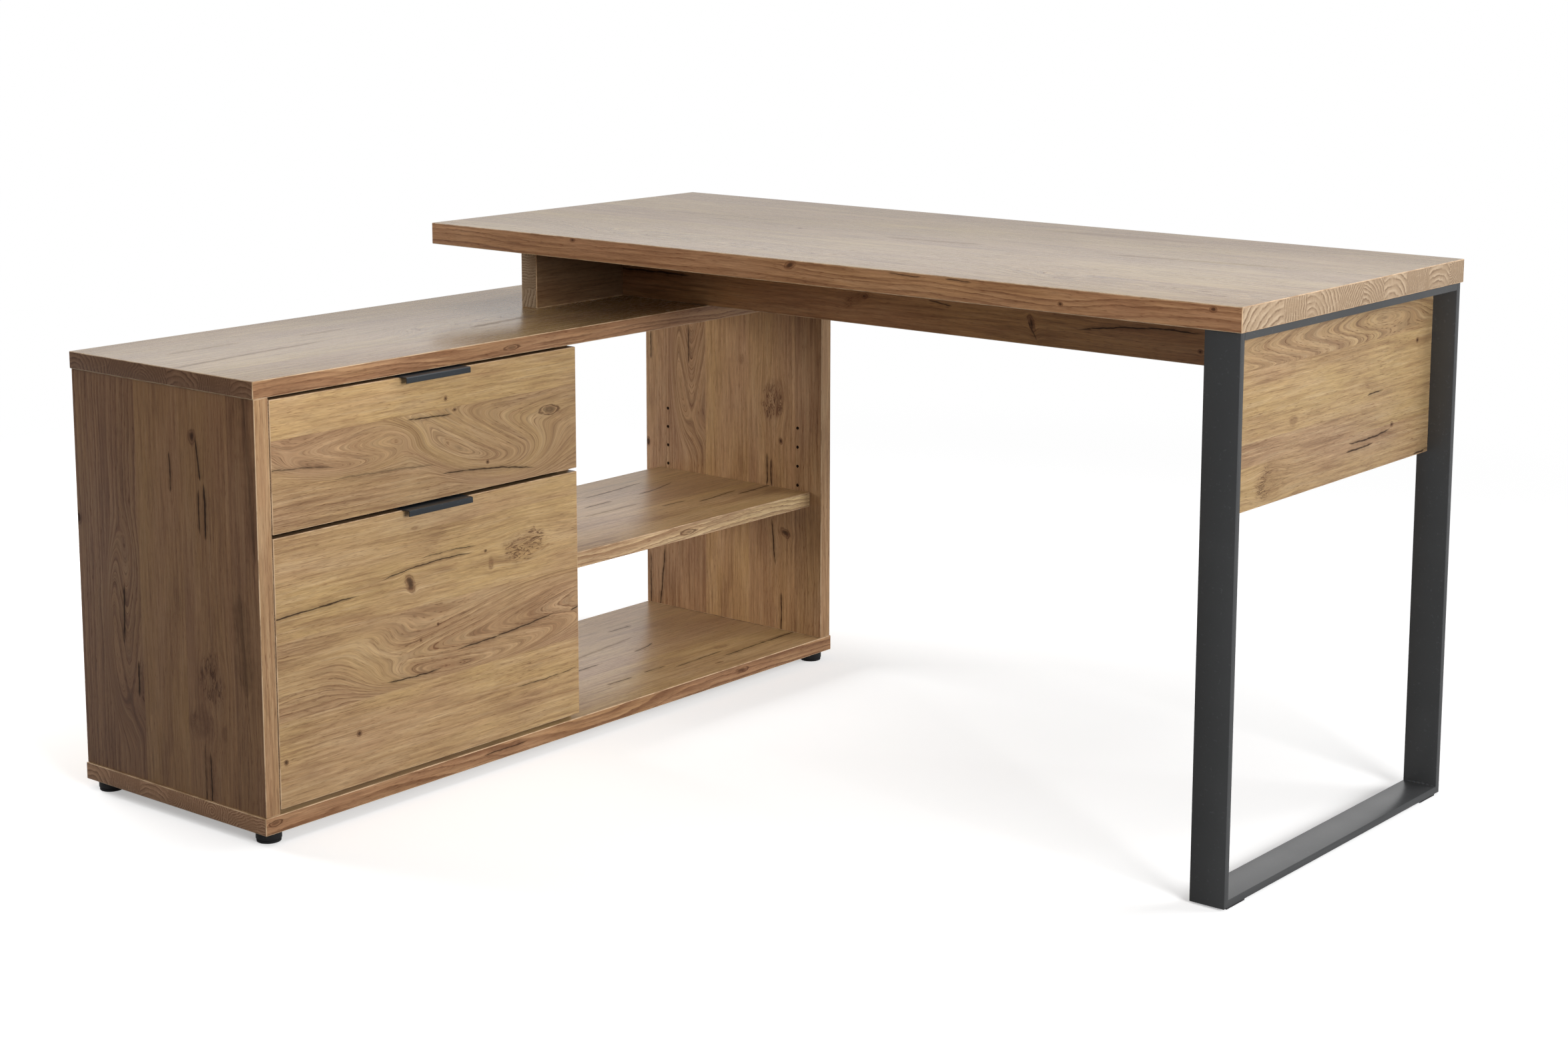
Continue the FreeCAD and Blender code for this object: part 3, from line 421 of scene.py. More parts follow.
@dataclass(frozen=True)
class Arch:
    """Growth rings in open arches about a tip: the half lengths that they fill, in millimetres.

    They keep between floor and ceiling across the grain, which are the seams of their plank.
    """

    along: float
    across: float
    length: float
    width: float
    slope: float = 0.2
    lean: float = 0.0
    floor: float = -REST
    ceiling: float = REST

    def values(self) -> dict[str, float]:
        """The arches as inputs of their node group."""
        sizes = metres(self, ("along", "across", "length", "width", "floor", "ceiling"))
        return as_inputs(sizes | {"slope": self.slope, "lean": self.lean})


@dataclass(frozen=True)
class Plank:
    """One strip of the decor up to a distance across the grain: its tone, rings and warmth, 0 to 1."""

    until: float = REST
    tone: float = 0.5
    figure: float = 0.4
    warmth: float = 0.5


@dataclass(frozen=True)
class OakTone:
    """The colours of the oak decor in linear light."""

    pale: Colour = linear(196, 168, 131)
    body: Colour = linear(174, 144, 105)
    rosy: Colour = linear(166, 131, 102)
    honey: Colour = linear(181, 150, 100)
    ring: Colour = linear(122, 88, 62)
    stain: Colour = linear(106, 70, 46)
    char: Colour = linear(50, 32, 22)


@dataclass(frozen=True)
class EndTone:
    """The colours of the oak's end grain in linear light."""

    brown: Colour = linear(148, 125, 100)
    body: Colour = linear(170, 147, 121)
    pale: Colour = linear(200, 178, 152)
    ring: Colour = linear(112, 88, 67)
    pore: Colour = linear(98, 74, 54)


OAK = OakTone()
OAK_END = EndTone()
KNOT_WAVES = 17.0
KNOT_RIM = 0.8
CRACK_WANDER = 4.0 * MM
CRACK_HALO = 4.5
ARCH_SOFTNESS = 0.16
RING_WOBBLE = 9.5 * MM
RING_UNEVEN = 2.4
END_BEND = 9.0 * MM
CENTRE_NEAR = 12.0 * MM
CENTRE_SPREAD = 220.0 * MM


def knot_group() -> bpy.types.NodeTree:
    """A knot, chained: it bends the grain round itself and adds its stain and black heart.

    With d the distance from the knot's centre in its own half lengths, the grain's line moves
    towards the centre by push / (1 + d^4) of its distance. Two noises make d ragged. The stain is
    a body that fades from d = 0.5 to 1.1, ring waves in d, a broken rim about d = 0.8, and hairs
    where a swirled noise, stretched along the knot, crosses its mean. The heart is a black middle,
    and it takes a share of the rim and the hairs.

    Returns:
        The node group.
    """
    graph, given, out = new_group(
        "knot",
        ("Place", "Shift", "Stain", "Char", "Along", "Across", "Length", "Width", "Turn")
        + ("Push", "Body", "Rings", "Rim", "Heart", "Feather"),
        ("Shift", "Stain", "Char"),
    )
    m = graph.math
    place, feathering = given["Place"], given["Feather"]
    u, v, _ = graph.parts(place)
    du = m("SUBTRACT", u, given["Along"])
    dv = m("SUBTRACT", v, given["Across"])
    cos, sin = m("COSINE", given["Turn"]), m("SINE", given["Turn"])
    along = m("DIVIDE", m("ADD", m("MULTIPLY", du, cos), m("MULTIPLY", dv, sin)), given["Length"])
    across = m("DIVIDE", m("SUBTRACT", m("MULTIPLY", dv, cos), m("MULTIPLY", du, sin)), given["Width"])
    distance = graph.length(along, across)
    wobble = graph.noise(graph.stretch(place, (70.0, 110.0, 40.0)))
    wide = graph.noise(graph.stretch(place, (22.0, 34.0, 20.0)), detail=1.0)
    ragged = graph.sway(wide, 0.9, graph.sway(wobble, 0.75, distance))
    pull = m("DIVIDE", given["Push"], m("ADD", m("POWER", distance, 4.0), 1.0))
    graph.feed(out["Shift"], m("SUBTRACT", given["Shift"], m("MULTIPLY", dv, pull)))

    body = graph.step(ragged, 1.1, 0.5)
    waves = m("MULTIPLY_ADD", m("SINE", m("MULTIPLY", ragged, KNOT_WAVES)), 0.5, 0.5)
    breaks = graph.noise(graph.stretch(place, (45.0, 90.0, 30.0)), detail=1.0)
    ridge = graph.step(m("ABSOLUTE", m("SUBTRACT", ragged, KNOT_RIM)), 0.22, 0.0)
    rim = m("MULTIPLY", ridge, graph.step(breaks, 0.3, 0.5))
    sweep = graph.vector(m("MULTIPLY", along, 1.1), m("MULTIPLY", across, 3.4), given["Along"])
    swirl = graph.noise(sweep, detail=3.0, roughness=0.6, distortion=1.5)
    hairs = graph.step(m("ABSOLUTE", m("SUBTRACT", swirl, 0.5)), 0.06, 0.0)
    tufts = graph.noise(graph.stretch(place, (30.0, 40.0, 30.0)), detail=1.0)
    dense = graph.step(tufts, 0.32, 0.62)
    feather = m("MULTIPLY", m("MULTIPLY", hairs, m("MULTIPLY_ADD", dense, 0.8, 0.2)), body)

    stain = m("MULTIPLY", body, m("MULTIPLY_ADD", waves, given["Rings"], given["Body"]))
    stain = m("MULTIPLY_ADD", rim, given["Rim"], stain)
    stain = m("MULTIPLY_ADD", feather, feathering, stain)
    graph.feed(out["Stain"], m("MAXIMUM", given["Stain"], m("MINIMUM", stain, 1.0)))
    heart = m("MULTIPLY", graph.step(ragged, 0.6, 0.25), given["Heart"])
    heart = m("MULTIPLY_ADD", m("MULTIPLY", feather, dense), m("MULTIPLY", feathering, 0.4), heart)
    heart = m("MULTIPLY_ADD", rim, m("MULTIPLY", given["Rim"], 0.5), heart)
    graph.feed(out["Char"], m("MAXIMUM", given["Char"], heart))
    return graph.tree


def crack_group() -> bpy.types.NodeTree:
    """A drying crack, chained. Its line is across + rise t + 4 bow t (1 - t) with a small wander.

    t runs from 0 at its start to 1 at its end. Its half width swells and thins along it and
    tapers to nothing at both ends. A stretched noise breaks it into splinters, and a faint halo
    of four and a half half widths stays round it.

    Returns:
        The node group.
    """
    graph, given, out = new_group(
        "crack",
        ("Place", "Char", "Start", "End", "Across", "Rise", "Bow", "Width", "Dark"),
        ("Char",),
    )
    m = graph.math
    u, v, w = graph.parts(given["Place"])
    t = m("DIVIDE", m("SUBTRACT", u, given["Start"]), m("SUBTRACT", given["End"], given["Start"]))
    hump = m("MULTIPLY", m("MULTIPLY", m("MULTIPLY", t, 4.0), m("SUBTRACT", 1.0, t)), given["Bow"])
    line = m("ADD", m("MULTIPLY_ADD", given["Rise"], t, given["Across"]), hump)
    along = graph.vector(m("MULTIPLY", u, 42.0), m("MULTIPLY", given["Across"], 91.0), w)
    line = graph.sway(graph.noise(along), CRACK_WANDER, line)
    off = m("ABSOLUTE", m("SUBTRACT", v, line))
    taper = m("MULTIPLY", graph.step(t, 0.0, 0.16), graph.step(t, 1.0, 0.8))
    swell = graph.noise(graph.vector(m("MULTIPLY", u, 90.0), given["Across"], 0.0), detail=1.0)
    half = m("MULTIPLY", m("MULTIPLY", given["Width"], taper), m("MULTIPLY_ADD", swell, 1.1, 0.25))
    mask = graph.step(off, m("MULTIPLY", half, 1.1), m("MULTIPLY", half, 0.3))
    split = graph.noise(graph.vector(m("MULTIPLY", u, 38.0), m("MULTIPLY", v, 420.0), given["Across"]))
    mask = m("MULTIPLY", mask, graph.step(split, 0.22, 0.42))
    inside = m("GREATER_THAN", taper, 0.001)
    seen = m("MULTIPLY", m("MULTIPLY", mask, inside), given["Dark"])
    about = graph.step(off, m("MULTIPLY", half, CRACK_HALO), 0.0)
    halo = m("MULTIPLY", about, m("MULTIPLY", inside, 0.28))
    graph.feed(out["Char"], m("MAXIMUM", given["Char"], m("MAXIMUM", seen, halo)))
    return graph.tree


def arch_group() -> bpy.types.NodeTree:
    """Rings that point along the grain in open arches, chained.

    With du and dv the distances from the tip, the ring coordinate becomes
    across + sqrt(dv^2 + soft^2) - slope du, so the tips lie one behind the other along the grain.
    It blends back to the straight grain outside an oval of the given half lengths.

    Returns:
        The node group.
    """
    graph, given, out = new_group(
        "arch",
        ("Place", "Shift", "Along", "Across", "Length", "Width", "Slope", "Lean", "Floor", "Ceiling"),
        ("Shift",),
    )
    m = graph.math
    u, v, _ = graph.parts(given["Place"])
    du = m("SUBTRACT", u, given["Along"])
    dv = m("SUBTRACT", m("SUBTRACT", v, given["Across"]), m("MULTIPLY", du, given["Lean"]))
    distance = graph.length(m("DIVIDE", du, given["Length"]), m("DIVIDE", dv, given["Width"]))
    bow = graph.length(dv, m("MULTIPLY", given["Width"], ARCH_SOFTNESS))
    rings = m("SUBTRACT", m("ADD", given["Across"], bow), m("MULTIPLY", given["Slope"], du))
    target = m("SUBTRACT", rings, v)
    inside = m("MULTIPLY", m("GREATER_THAN", v, given["Floor"]), m("LESS_THAN", v, given["Ceiling"]))
    near = m("MULTIPLY", graph.step(distance, 1.25, 0.6), inside)
    change = m("SUBTRACT", target, given["Shift"])
    graph.feed(out["Shift"], m("MULTIPLY_ADD", change, near, given["Shift"]))
    return graph.tree


def figure_group() -> bpy.types.NodeTree:
    """The decor's figure: growth rings, streaks, fibres, pores and patches of pale and brown.

    The ring coordinate is the distance across the grain, plus the chained shift, a slow wander and
    a small wobble, over the ring pitch. Its fraction is a saw tooth whose last part is the dark
    ring, and a noise of the coordinate alone makes some rings wide and others narrow.

    Returns:
        The node group.
    """
    graph, given, out = new_group(
        "oak figure",
        ("Place", "Shift", "Tone", "Figure", "Warmth", "Seed", "Pitch", "Wander"),
        ("Colour", "Height", "Pores"),
    )
    m = graph.math
    u, v, w = graph.parts(given["Place"])
    bent = m("ADD", v, given["Shift"])
    depth = m("ADD", m("MULTIPLY", w, 8.0), given["Seed"])
    grain = graph.vector(u, bent, depth)

    slow = graph.noise(graph.stretch(grain, (2.4, 8.0, 1.0)), detail=1.0)
    wobble = graph.noise(graph.stretch(grain, (15.0, 46.0, 1.0)), detail=4.0, roughness=0.62)
    moved = graph.sway(wobble, RING_WOBBLE, graph.sway(slow, given["Wander"], bent))
    order = m("DIVIDE", moved, given["Pitch"])
    uneven = graph.noise(graph.vector(m("MULTIPLY", order, 0.45), depth, 0.0), detail=1.0)
    saw = m("FRACT", m("MULTIPLY_ADD", uneven, RING_UNEVEN, order))
    crisp = m("MULTIPLY", graph.step(saw, 0.6, 0.95), graph.step(saw, 1.0, 0.95))
    soft = m("MULTIPLY", graph.step(saw, 0.0, 0.85), graph.step(saw, 1.0, 0.9))
    zone = graph.noise(graph.stretch(grain, (5.0, 22.0, 1.0), (3.1, 0.0, 5.0)))
    strong = graph.step(m("MULTIPLY_ADD", given["Figure"], 0.3, zone), 0.5, 0.78)
    ring = m("MULTIPLY", m("MULTIPLY_ADD", crisp, 0.5, m("MULTIPLY", soft, 0.5)), strong)
    ring = m("MULTIPLY", ring, m("MULTIPLY", given["Figure"], 1.1))

    drift = graph.noise(graph.stretch(grain, (3.0, 12.0, 1.0), (0.0, 4.0, 9.0)), roughness=0.6)
    patch = graph.noise(graph.stretch(grain, (6.0, 38.0, 1.0), (7.0, 0.0, 2.0)), detail=3.0, roughness=0.6)
    streak = graph.noise(graph.stretch(grain, (9.0, 210.0, 2.0)), detail=3.0, roughness=0.65)
    fibre = graph.noise(graph.stretch(grain, (16.0, 640.0, 3.0)), roughness=0.7)
    fine = graph.noise(graph.stretch(grain, (50.0, 1500.0, 5.0)), detail=1.0, roughness=0.6)
    dash = graph.noise(graph.stretch(grain, (75.0, 950.0, 9.0)), detail=1.0)

    warm = m("MULTIPLY_ADD", m("SUBTRACT", drift, 0.5), 2.6, given["Warmth"], clamp=True)
    colour = graph.mix(0.4, graph.mix(warm, OAK.rosy, OAK.honey), OAK.body)
    for noise, start, stop, share, tone in (
        (patch, 0.52, 0.72, 0.36, OAK.pale),
        (patch, 0.48, 0.3, 0.42, OAK.ring),
        (streak, 0.5, 0.7, 0.42, OAK.pale),
        (streak, 0.5, 0.3, 0.5, OAK.ring),
    ):
        colour = graph.mix(graph.step(noise, start, stop, 0.0, share), colour, tone)
    colour = graph.mix(m("MULTIPLY", ring, 0.8), colour, OAK.ring)
    pore_zone = m("MULTIPLY_ADD", ring, 0.6, m("MULTIPLY_ADD", zone, 0.6, 0.12))
    pores = m("MULTIPLY", graph.step(dash, 0.58, 0.72), pore_zone)
    colour = graph.mix(m("MULTIPLY", pores, 0.95), colour, OAK.stain)
    grit = graph.sway(fibre, 0.7, graph.sway(fine, 0.6, 1.0))
    level = m("MULTIPLY", grit, m("MULTIPLY_ADD", given["Tone"], 0.6, 0.7))
    graph.feed(out["Colour"], graph.scaled(colour, level))
    low = m("MULTIPLY_ADD", pores, -1.0, m("MULTIPLY", fine, 0.35))
    graph.feed(out["Height"], m("MULTIPLY_ADD", ring, -0.3, low))
    graph.feed(out["Pores"], pores)
    return graph.tree


def end_grain_group() -> bpy.types.NodeTree:
    """End grain of glued strips: rings are circles about a centre that differs in each strip.

    The strips are the cells of a one-dimensional Voronoi pattern. Each has its own ring centre and
    ring pitch, and the fraction of the distance from that centre over the pitch is a thin dark line
    with a pale one beside it. Both fade where a slow noise is low. Pale rays run out from the
    centre, and dark pores are strewn over all.

    Returns:
        The node group.
    """
    graph, given, out = new_group("end grain", ("Place", "Seed", "Strip", "Pitch"), ("Colour", "Height"))
    m = graph.math
    _, v, w = graph.parts(given["Place"])
    cells = graph.node("TexVoronoi", voronoi_dimensions="1D")
    graph.feed(cells.inputs["W"], m("ADD", m("DIVIDE", v, given["Strip"]), given["Seed"]))
    cells.inputs["Scale"].default_value = 1.0
    cells.inputs["Randomness"].default_value = 0.7
    pick = graph.node("SeparateColor")
    graph.feed(pick.inputs[0], cells.outputs["Color"])
    red, green, blue = pick.outputs[0], pick.outputs[1], pick.outputs[2]
    away = m("MULTIPLY_ADD", m("MULTIPLY", green, green), CENTRE_SPREAD, CENTRE_NEAR)
    turn = m("MULTIPLY", red, 2.0 * math.pi)
    middle = m("MULTIPLY", m("SUBTRACT", cells.outputs["W"], given["Seed"]), given["Strip"])
    pv = m("SUBTRACT", v, m("MULTIPLY_ADD", m("COSINE", turn), away, middle))
    pw = m("SUBTRACT", w, m("MULTIPLY", m("SINE", turn), away))

    def spread(first: float, second: float, third: Any, detail: float = 1.0) -> Socket:
        """A noise over the end: its features per metre across and through the board."""
        return graph.noise(graph.vector(m("MULTIPLY", v, first), m("MULTIPLY", w, second), third), detail)

    radius = graph.sway(spread(60.0, 85.0, blue, 3.0), END_BEND, graph.length(pv, pw))
    pitch = m("MULTIPLY", given["Pitch"], m("MULTIPLY_ADD", blue, 1.1, 0.6))
    saw = m("FRACT", m("DIVIDE", radius, pitch))
    held = graph.step(spread(40.0, 70.0, green), 0.3, 0.6, 0.25, 1.0)
    dark = m("MULTIPLY", m("MULTIPLY", graph.step(saw, 0.6, 0.86), graph.step(saw, 1.0, 0.92)), held)
    pale = m("MULTIPLY", m("MULTIPLY", graph.step(saw, 0.5, 0.2), graph.step(saw, 0.0, 0.1)), held)
    round_way = m("MULTIPLY", m("ARCTAN2", pw, pv), m("MULTIPLY", away, 700.0))
    rays = graph.noise(graph.vector(round_way, m("MULTIPLY", radius, 60.0), red), detail=1.0)
    dots = graph.step(spread(900.0, 900.0, 0.0), 0.58, 0.72)
    dots = m("MULTIPLY", dots, m("MULTIPLY_ADD", dark, 0.3, 0.3))
    colour = graph.mix(m("MULTIPLY_ADD", blue, 0.8, 0.1), OAK_END.brown, OAK_END.body)
    for share, tone in (
        (m("MULTIPLY", pale, 0.55), OAK_END.pale),
        (m("MULTIPLY", dark, 0.75), OAK_END.ring),
        (graph.step(rays, 0.55, 0.75, 0.0, 0.3), OAK_END.pale),
        (dots, OAK_END.pore),
    ):
        colour = graph.mix(share, colour, tone)
    graph.feed(out["Colour"], colour)
    graph.feed(out["Height"], m("MULTIPLY_ADD", dots, -0.8, m("MULTIPLY", dark, -0.4)))
    return graph.tree


def speck_group() -> bpy.types.NodeTree:
    """Fine dust and scuffs for coats and plastics: a mask of specks and a slow cloud of wear.

    Returns:
        The node group, with a Speck mask, a Cloud and an orange-peel Height.
    """
    graph, given, out = new_group("specks and cloud", ("Place", "Fineness"), ("Speck", "Cloud", "Height"))
    place = given["Place"]
    dust = graph.noise(graph.scaled(place, 260.0), detail=1.0)
    graph.feed(out["Speck"], graph.step(dust, 0.66, 0.74))
    graph.feed(out["Cloud"], graph.noise(graph.scaled(place, 5.0), detail=3.0, roughness=0.6))
    graph.feed(out["Height"], graph.noise(graph.scaled(place, given["Fineness"])))
    return graph.tree


@dataclass
class Workshop:
    """The shared node groups, each built once."""

    knot: bpy.types.NodeTree = field(default_factory=knot_group)
    crack: bpy.types.NodeTree = field(default_factory=crack_group)
    arch: bpy.types.NodeTree = field(default_factory=arch_group)
    figure: bpy.types.NodeTree = field(default_factory=figure_group)
    end_grain: bpy.types.NodeTree = field(default_factory=end_grain_group)
    specks: bpy.types.NodeTree = field(default_factory=speck_group)


# ---------------------------------------------------------------------------
# Finishes
# ---------------------------------------------------------------------------

BUMP_SHARE = 0.5
STAIN_SHARE = 0.8
CHAR_SHARE = 0.96
GREEN_CUT = 0.14
BLUE_CUT = 0.2
SEED_STEP = 0.37
SEED_SPAN = 40.0


def new_material(name: str) -> tuple[Material, Graph, bpy.types.Node]:
    """A material with an empty tree but for its Principled shader.

    Args:
        name: The material's name.

    Returns:
        The material, its graph and its Principled node.
    """
    made = bpy.data.materials.new(name)
    graph = empty_graph(made)
    shader = graph.node("BsdfPrincipled")
    graph.finish("OutputMaterial", shader)
    return made, graph, shader


def add_bump(
    graph: Graph, shader: bpy.types.Node, height: Socket, depth: float, strength: float = BUMP_SHARE
) -> None:
    """Feeds a Bump node into the shader's Normal.

    Args:
        graph: The material's graph.
        shader: Its Principled node.
        height: The height's socket, 0 to 1.
        depth: What a height of 1 is, in metres.
        strength: How much of the bump shows.
    """
    bump = graph.node("Bump")
    bump.inputs["Strength"].default_value = strength
    bump.inputs["Distance"].default_value = depth
    graph.feed(bump.inputs["Height"], height)
    graph.feed(shader.inputs["Normal"], bump.outputs[0])


def tone_and_painted_light(level: float, red: float) -> Colour:
    """The colour that a face is multiplied by: a level, with less green and blue for more red, which on
    some boards paints light and shade into the face.
    """
    return (level, level * (1.0 - GREEN_CUT * red), level * (1.0 - BLUE_CUT * red), 1.0)


@dataclass(frozen=True)
class OakFace:
    """The printed oak decor on one face of a board, with all that grows in it.

    Pitch and wander are the rings' spacing and slow sway in millimetres. Level and red colour the
    whole face, and on several boards they paint light and shade into it: darker for a face in shade,
    redder for the warm light bounced into a shaded face, greyer for a top's sheen. Swap is for a
    board's edge, where the pattern lies across the thickness.
    """

    name: str
    planks: Sequence[Plank] = (Plank(),)
    knots: Sequence[Knot] = ()
    cracks: Sequence[Crack] = ()
    arches: Sequence[Arch] = ()
    seed: float = 0.0
    pitch: float = 9.0
    wander: float = 26.0
    roughness: float = 0.38
    level: float = 1.0
    red: float = 0.0
    swap: bool = False
    specular: float = 0.42
    relief: float = 0.1

    def title(self, width: float) -> str:
        """The material's name: the face's own and its width in millimetres."""
        return f"{self.name}_{round(width / MM)}"

    def build(self, shop: Workshop, width: float) -> Material:
        """Makes the material.

        Args:
            shop: The shared node groups.
            width: The face's width across the grain, in metres.

        Returns:
            The material, which reads the piece's grain attribute.
        """
        material, graph, shader = new_material(self.title(width))
        m = graph.math
        place = graph.grain()
        if self.swap:
            along, across, through = graph.parts(place)
            place = graph.vector(along, through, across)
        grown = self.grow(graph, shop, place)
        tone, figure, warmth, seed = self.strips(graph, place, width)
        oak = graph.group(
            shop.figure,
            Place=place,
            Shift=grown["Shift"],
            Tone=tone,
            Figure=figure,
            Warmth=warmth,
            Seed=seed,
            Pitch=self.pitch * MM,
            Wander=self.wander * MM,
        )
        colour, height = oak.outputs["Colour"], oak.outputs["Height"]
        if self.knots:
            colour = graph.mix(m("MULTIPLY", grown["Stain"], STAIN_SHARE), colour, OAK.stain)
        if self.knots or self.cracks:
            colour = graph.mix(m("MULTIPLY", grown["Char"], CHAR_SHARE), colour, OAK.char)
        colour = graph.mix(1.0, colour, tone_and_painted_light(self.level, self.red), "MULTIPLY")
        graph.feed(shader.inputs["Base Color"], colour)
        rough = m("MULTIPLY_ADD", oak.outputs["Pores"], 0.2, self.roughness)
        if self.cracks:
            rough = m("MULTIPLY_ADD", grown["Char"], 0.3, rough)
        graph.feed(shader.inputs["Roughness"], m("MULTIPLY_ADD", height, 0.06, rough))
        shader.inputs["Specular IOR Level"].default_value = self.specular
        add_bump(graph, shader, height, self.relief * MM)
        return material

    def grow(self, graph: Graph, shop: Workshop, place: Socket) -> dict[str, Any]:
        """Chains a group for each arch, knot and crack, each adding to what the last one put out.

        Args:
            graph: The material's graph.
            shop: The shared node groups.
            place: The grain coordinates.

        Returns:
            The last Shift, Stain and Char, which are 0 where nothing grows.
        """
        grown: dict[str, Any] = {"Shift": 0.0, "Stain": 0.0, "Char": 0.0}
        kinds = ((shop.arch, self.arches), (shop.knot, self.knots), (shop.crack, self.cracks))
        for tree, features in kinds:
            for feature in features:
                made = graph.group(tree, Place=place, **feature.values())
                for socket in made.outputs:
                    graph.feed(made.inputs[socket.name], grown[socket.name])
                    grown[socket.name] = socket
        return grown

    def strips(self, graph: Graph, place: Socket, width: float) -> tuple[Socket, Socket, Socket, Socket]:
        """Reads tone, figure, warmth and seed of the plank at a place from a stepped ramp.

        Args:
            graph: The material's graph.
            place: The grain coordinates.
            width: The face's width across the grain, in metres.

        Returns:
            The tone, figure, warmth and seed sockets.
        """
        across = graph.parts(place)[1]
        ramp = graph.node("ValToRGB")
        ramp.color_ramp.interpolation = "CONSTANT"
        graph.feed(ramp.inputs[0], graph.math("DIVIDE", across, width))
        stops = ramp.color_ramp.elements
        stops.remove(stops[1])
        start = 0.0
        for index, plank in enumerate(self.planks):
            stop = stops[0] if index == 0 else stops.new(min(start / width, 1.0))
            stop.color = (plank.tone, plank.figure, plank.warmth, (index * SEED_STEP) % 1.0)
            start = plank.until * MM
        split = graph.node("SeparateColor")
        graph.feed(split.inputs[0], ramp.outputs[0])
        seed = graph.math("MULTIPLY_ADD", ramp.outputs["Alpha"], SEED_SPAN, self.seed)
        return split.outputs[0], split.outputs[1], split.outputs[2], seed


@dataclass(frozen=True)
class OakEnd:
    """The end-grain band of a board: the width of its glued strips and its ring pitch in millimetres."""

    name: str = "oak_end_band"
    seed: float = 3.3
    strip: float = 58.0
    pitch: float = 4.2
    roughness: float = 0.5
    level: float = 0.9
    red: float = 0.0
    specular: float = 0.25
    relief: float = 0.12

    def build(self, shop: Workshop) -> Material:
        """Makes the material, which reads the piece's grain attribute.

        Args:
            shop: The shared node groups.

        Returns:
            The material.
        """
        material, graph, shader = new_material(self.name)
        end = graph.group(
            shop.end_grain,
            Place=graph.grain(),
            Seed=self.seed,
            Strip=self.strip * MM,
            Pitch=self.pitch * MM,
        )
        colour = graph.mix(1.0, end.outputs["Colour"], tone_and_painted_light(self.level, self.red), "MULTIPLY")
        graph.feed(shader.inputs["Base Color"], colour)
        rough = graph.math("MULTIPLY_ADD", end.outputs["Height"], 0.1, self.roughness)
        graph.feed(shader.inputs["Roughness"], rough)
        shader.inputs["Specular IOR Level"].default_value = self.specular
        add_bump(graph, shader, end.outputs["Height"], self.relief * MM)
        return material


@dataclass(frozen=True)
class Arris:
    """The pale line where two bands of a board meet: a painted highlight along the rounded arris."""

    name: str = "oak_arris_highlight"
    pale: Shade = (204, 174, 140)
    worn: Shade = (162, 130, 98)
    scale: float = 35.0
    roughness: float = 0.32

    def build(self) -> Material:
        """Makes the material, which reads the piece's grain attribute.

        Returns:
            The material.
        """
        material, graph, shader = new_material(self.name)
        # The pale cream along the arris is a painted highlight, broken up by a noise into a brighter and a
        # dimmer tone.
        highlight_breakup = graph.noise(graph.scaled(graph.grain(), self.scale), detail=3.0, roughness=0.6)
        colour = graph.mix(graph.step(highlight_breakup, 0.35, 0.62), linear(*self.worn), linear(*self.pale))
        graph.feed(shader.inputs["Base Color"], colour)
        rough = graph.math("MULTIPLY_ADD", highlight_breakup, 0.2, self.roughness)
        graph.feed(shader.inputs["Roughness"], rough)
        return material


@dataclass(frozen=True)
class Coat:
    """A paint, plastic or plated finish: two near tones, a fine peel in millimetres and dust specks."""

    name: str
    base: Shade
    cloud: Shade
    speck: Shade
    roughness: float = 0.45
    metallic: float = 0.0
    fineness: float = 900.0
    peel: float = 0.05
    speck_share: float = 0.2
    specular: float = 0.5

    def build(self, shop: Workshop) -> Material:
        """Makes the material from Object coordinates.

        Args:
            shop: The shared node groups.

        Returns:
            The material.
        """
        material, graph, shader = new_material(self.name)
        m = graph.math
        skin = graph.group(shop.specks, Place=graph.place(), Fineness=self.fineness).outputs
        clouds = graph.step(skin["Cloud"], 0.3, 0.7)
        colour = graph.mix(clouds, linear(*self.base), linear(*self.cloud))
        specks = m("MULTIPLY", skin["Speck"], self.speck_share)
        colour = graph.mix(specks, colour, linear(*self.speck))
        graph.feed(shader.inputs["Base Color"], colour)
        rough = graph.sway(skin["Cloud"], 0.12, self.roughness)
        rough = m("MULTIPLY_ADD", skin["Height"], 0.06, rough)
        graph.feed(shader.inputs["Roughness"], rough)
        shader.inputs["Metallic"].default_value = self.metallic
        shader.inputs["Specular IOR Level"].default_value = self.specular
        add_bump(graph, shader, skin["Height"], self.peel * MM)
        return material


@dataclass(frozen=True)
class Fibre:
    """Solid wood or chipboard seen on small pieces: fibres of two tones, so many per metre."""

    name: str
    base: Shade
    dark: Shade
    scale: float
    roughness: float = 0.6
    relief: float = 0.1

    def build(self) -> Material:
        """Makes the material from Object coordinates.

        Returns:
            The material.
        """
        material, graph, shader = new_material(self.name)
        fibres = graph.noise(graph.scaled(graph.place(), self.scale), detail=3.0, roughness=0.6)
        colour = graph.mix(graph.step(fibres, 0.35, 0.7), linear(*self.base), linear(*self.dark))
        graph.feed(shader.inputs["Base Color"], colour)
        rough = graph.math("MULTIPLY_ADD", fibres, 0.15, self.roughness)
        graph.feed(shader.inputs["Roughness"], rough)
        add_bump(graph, shader, fibres, self.relief * MM, 0.4)
        return material


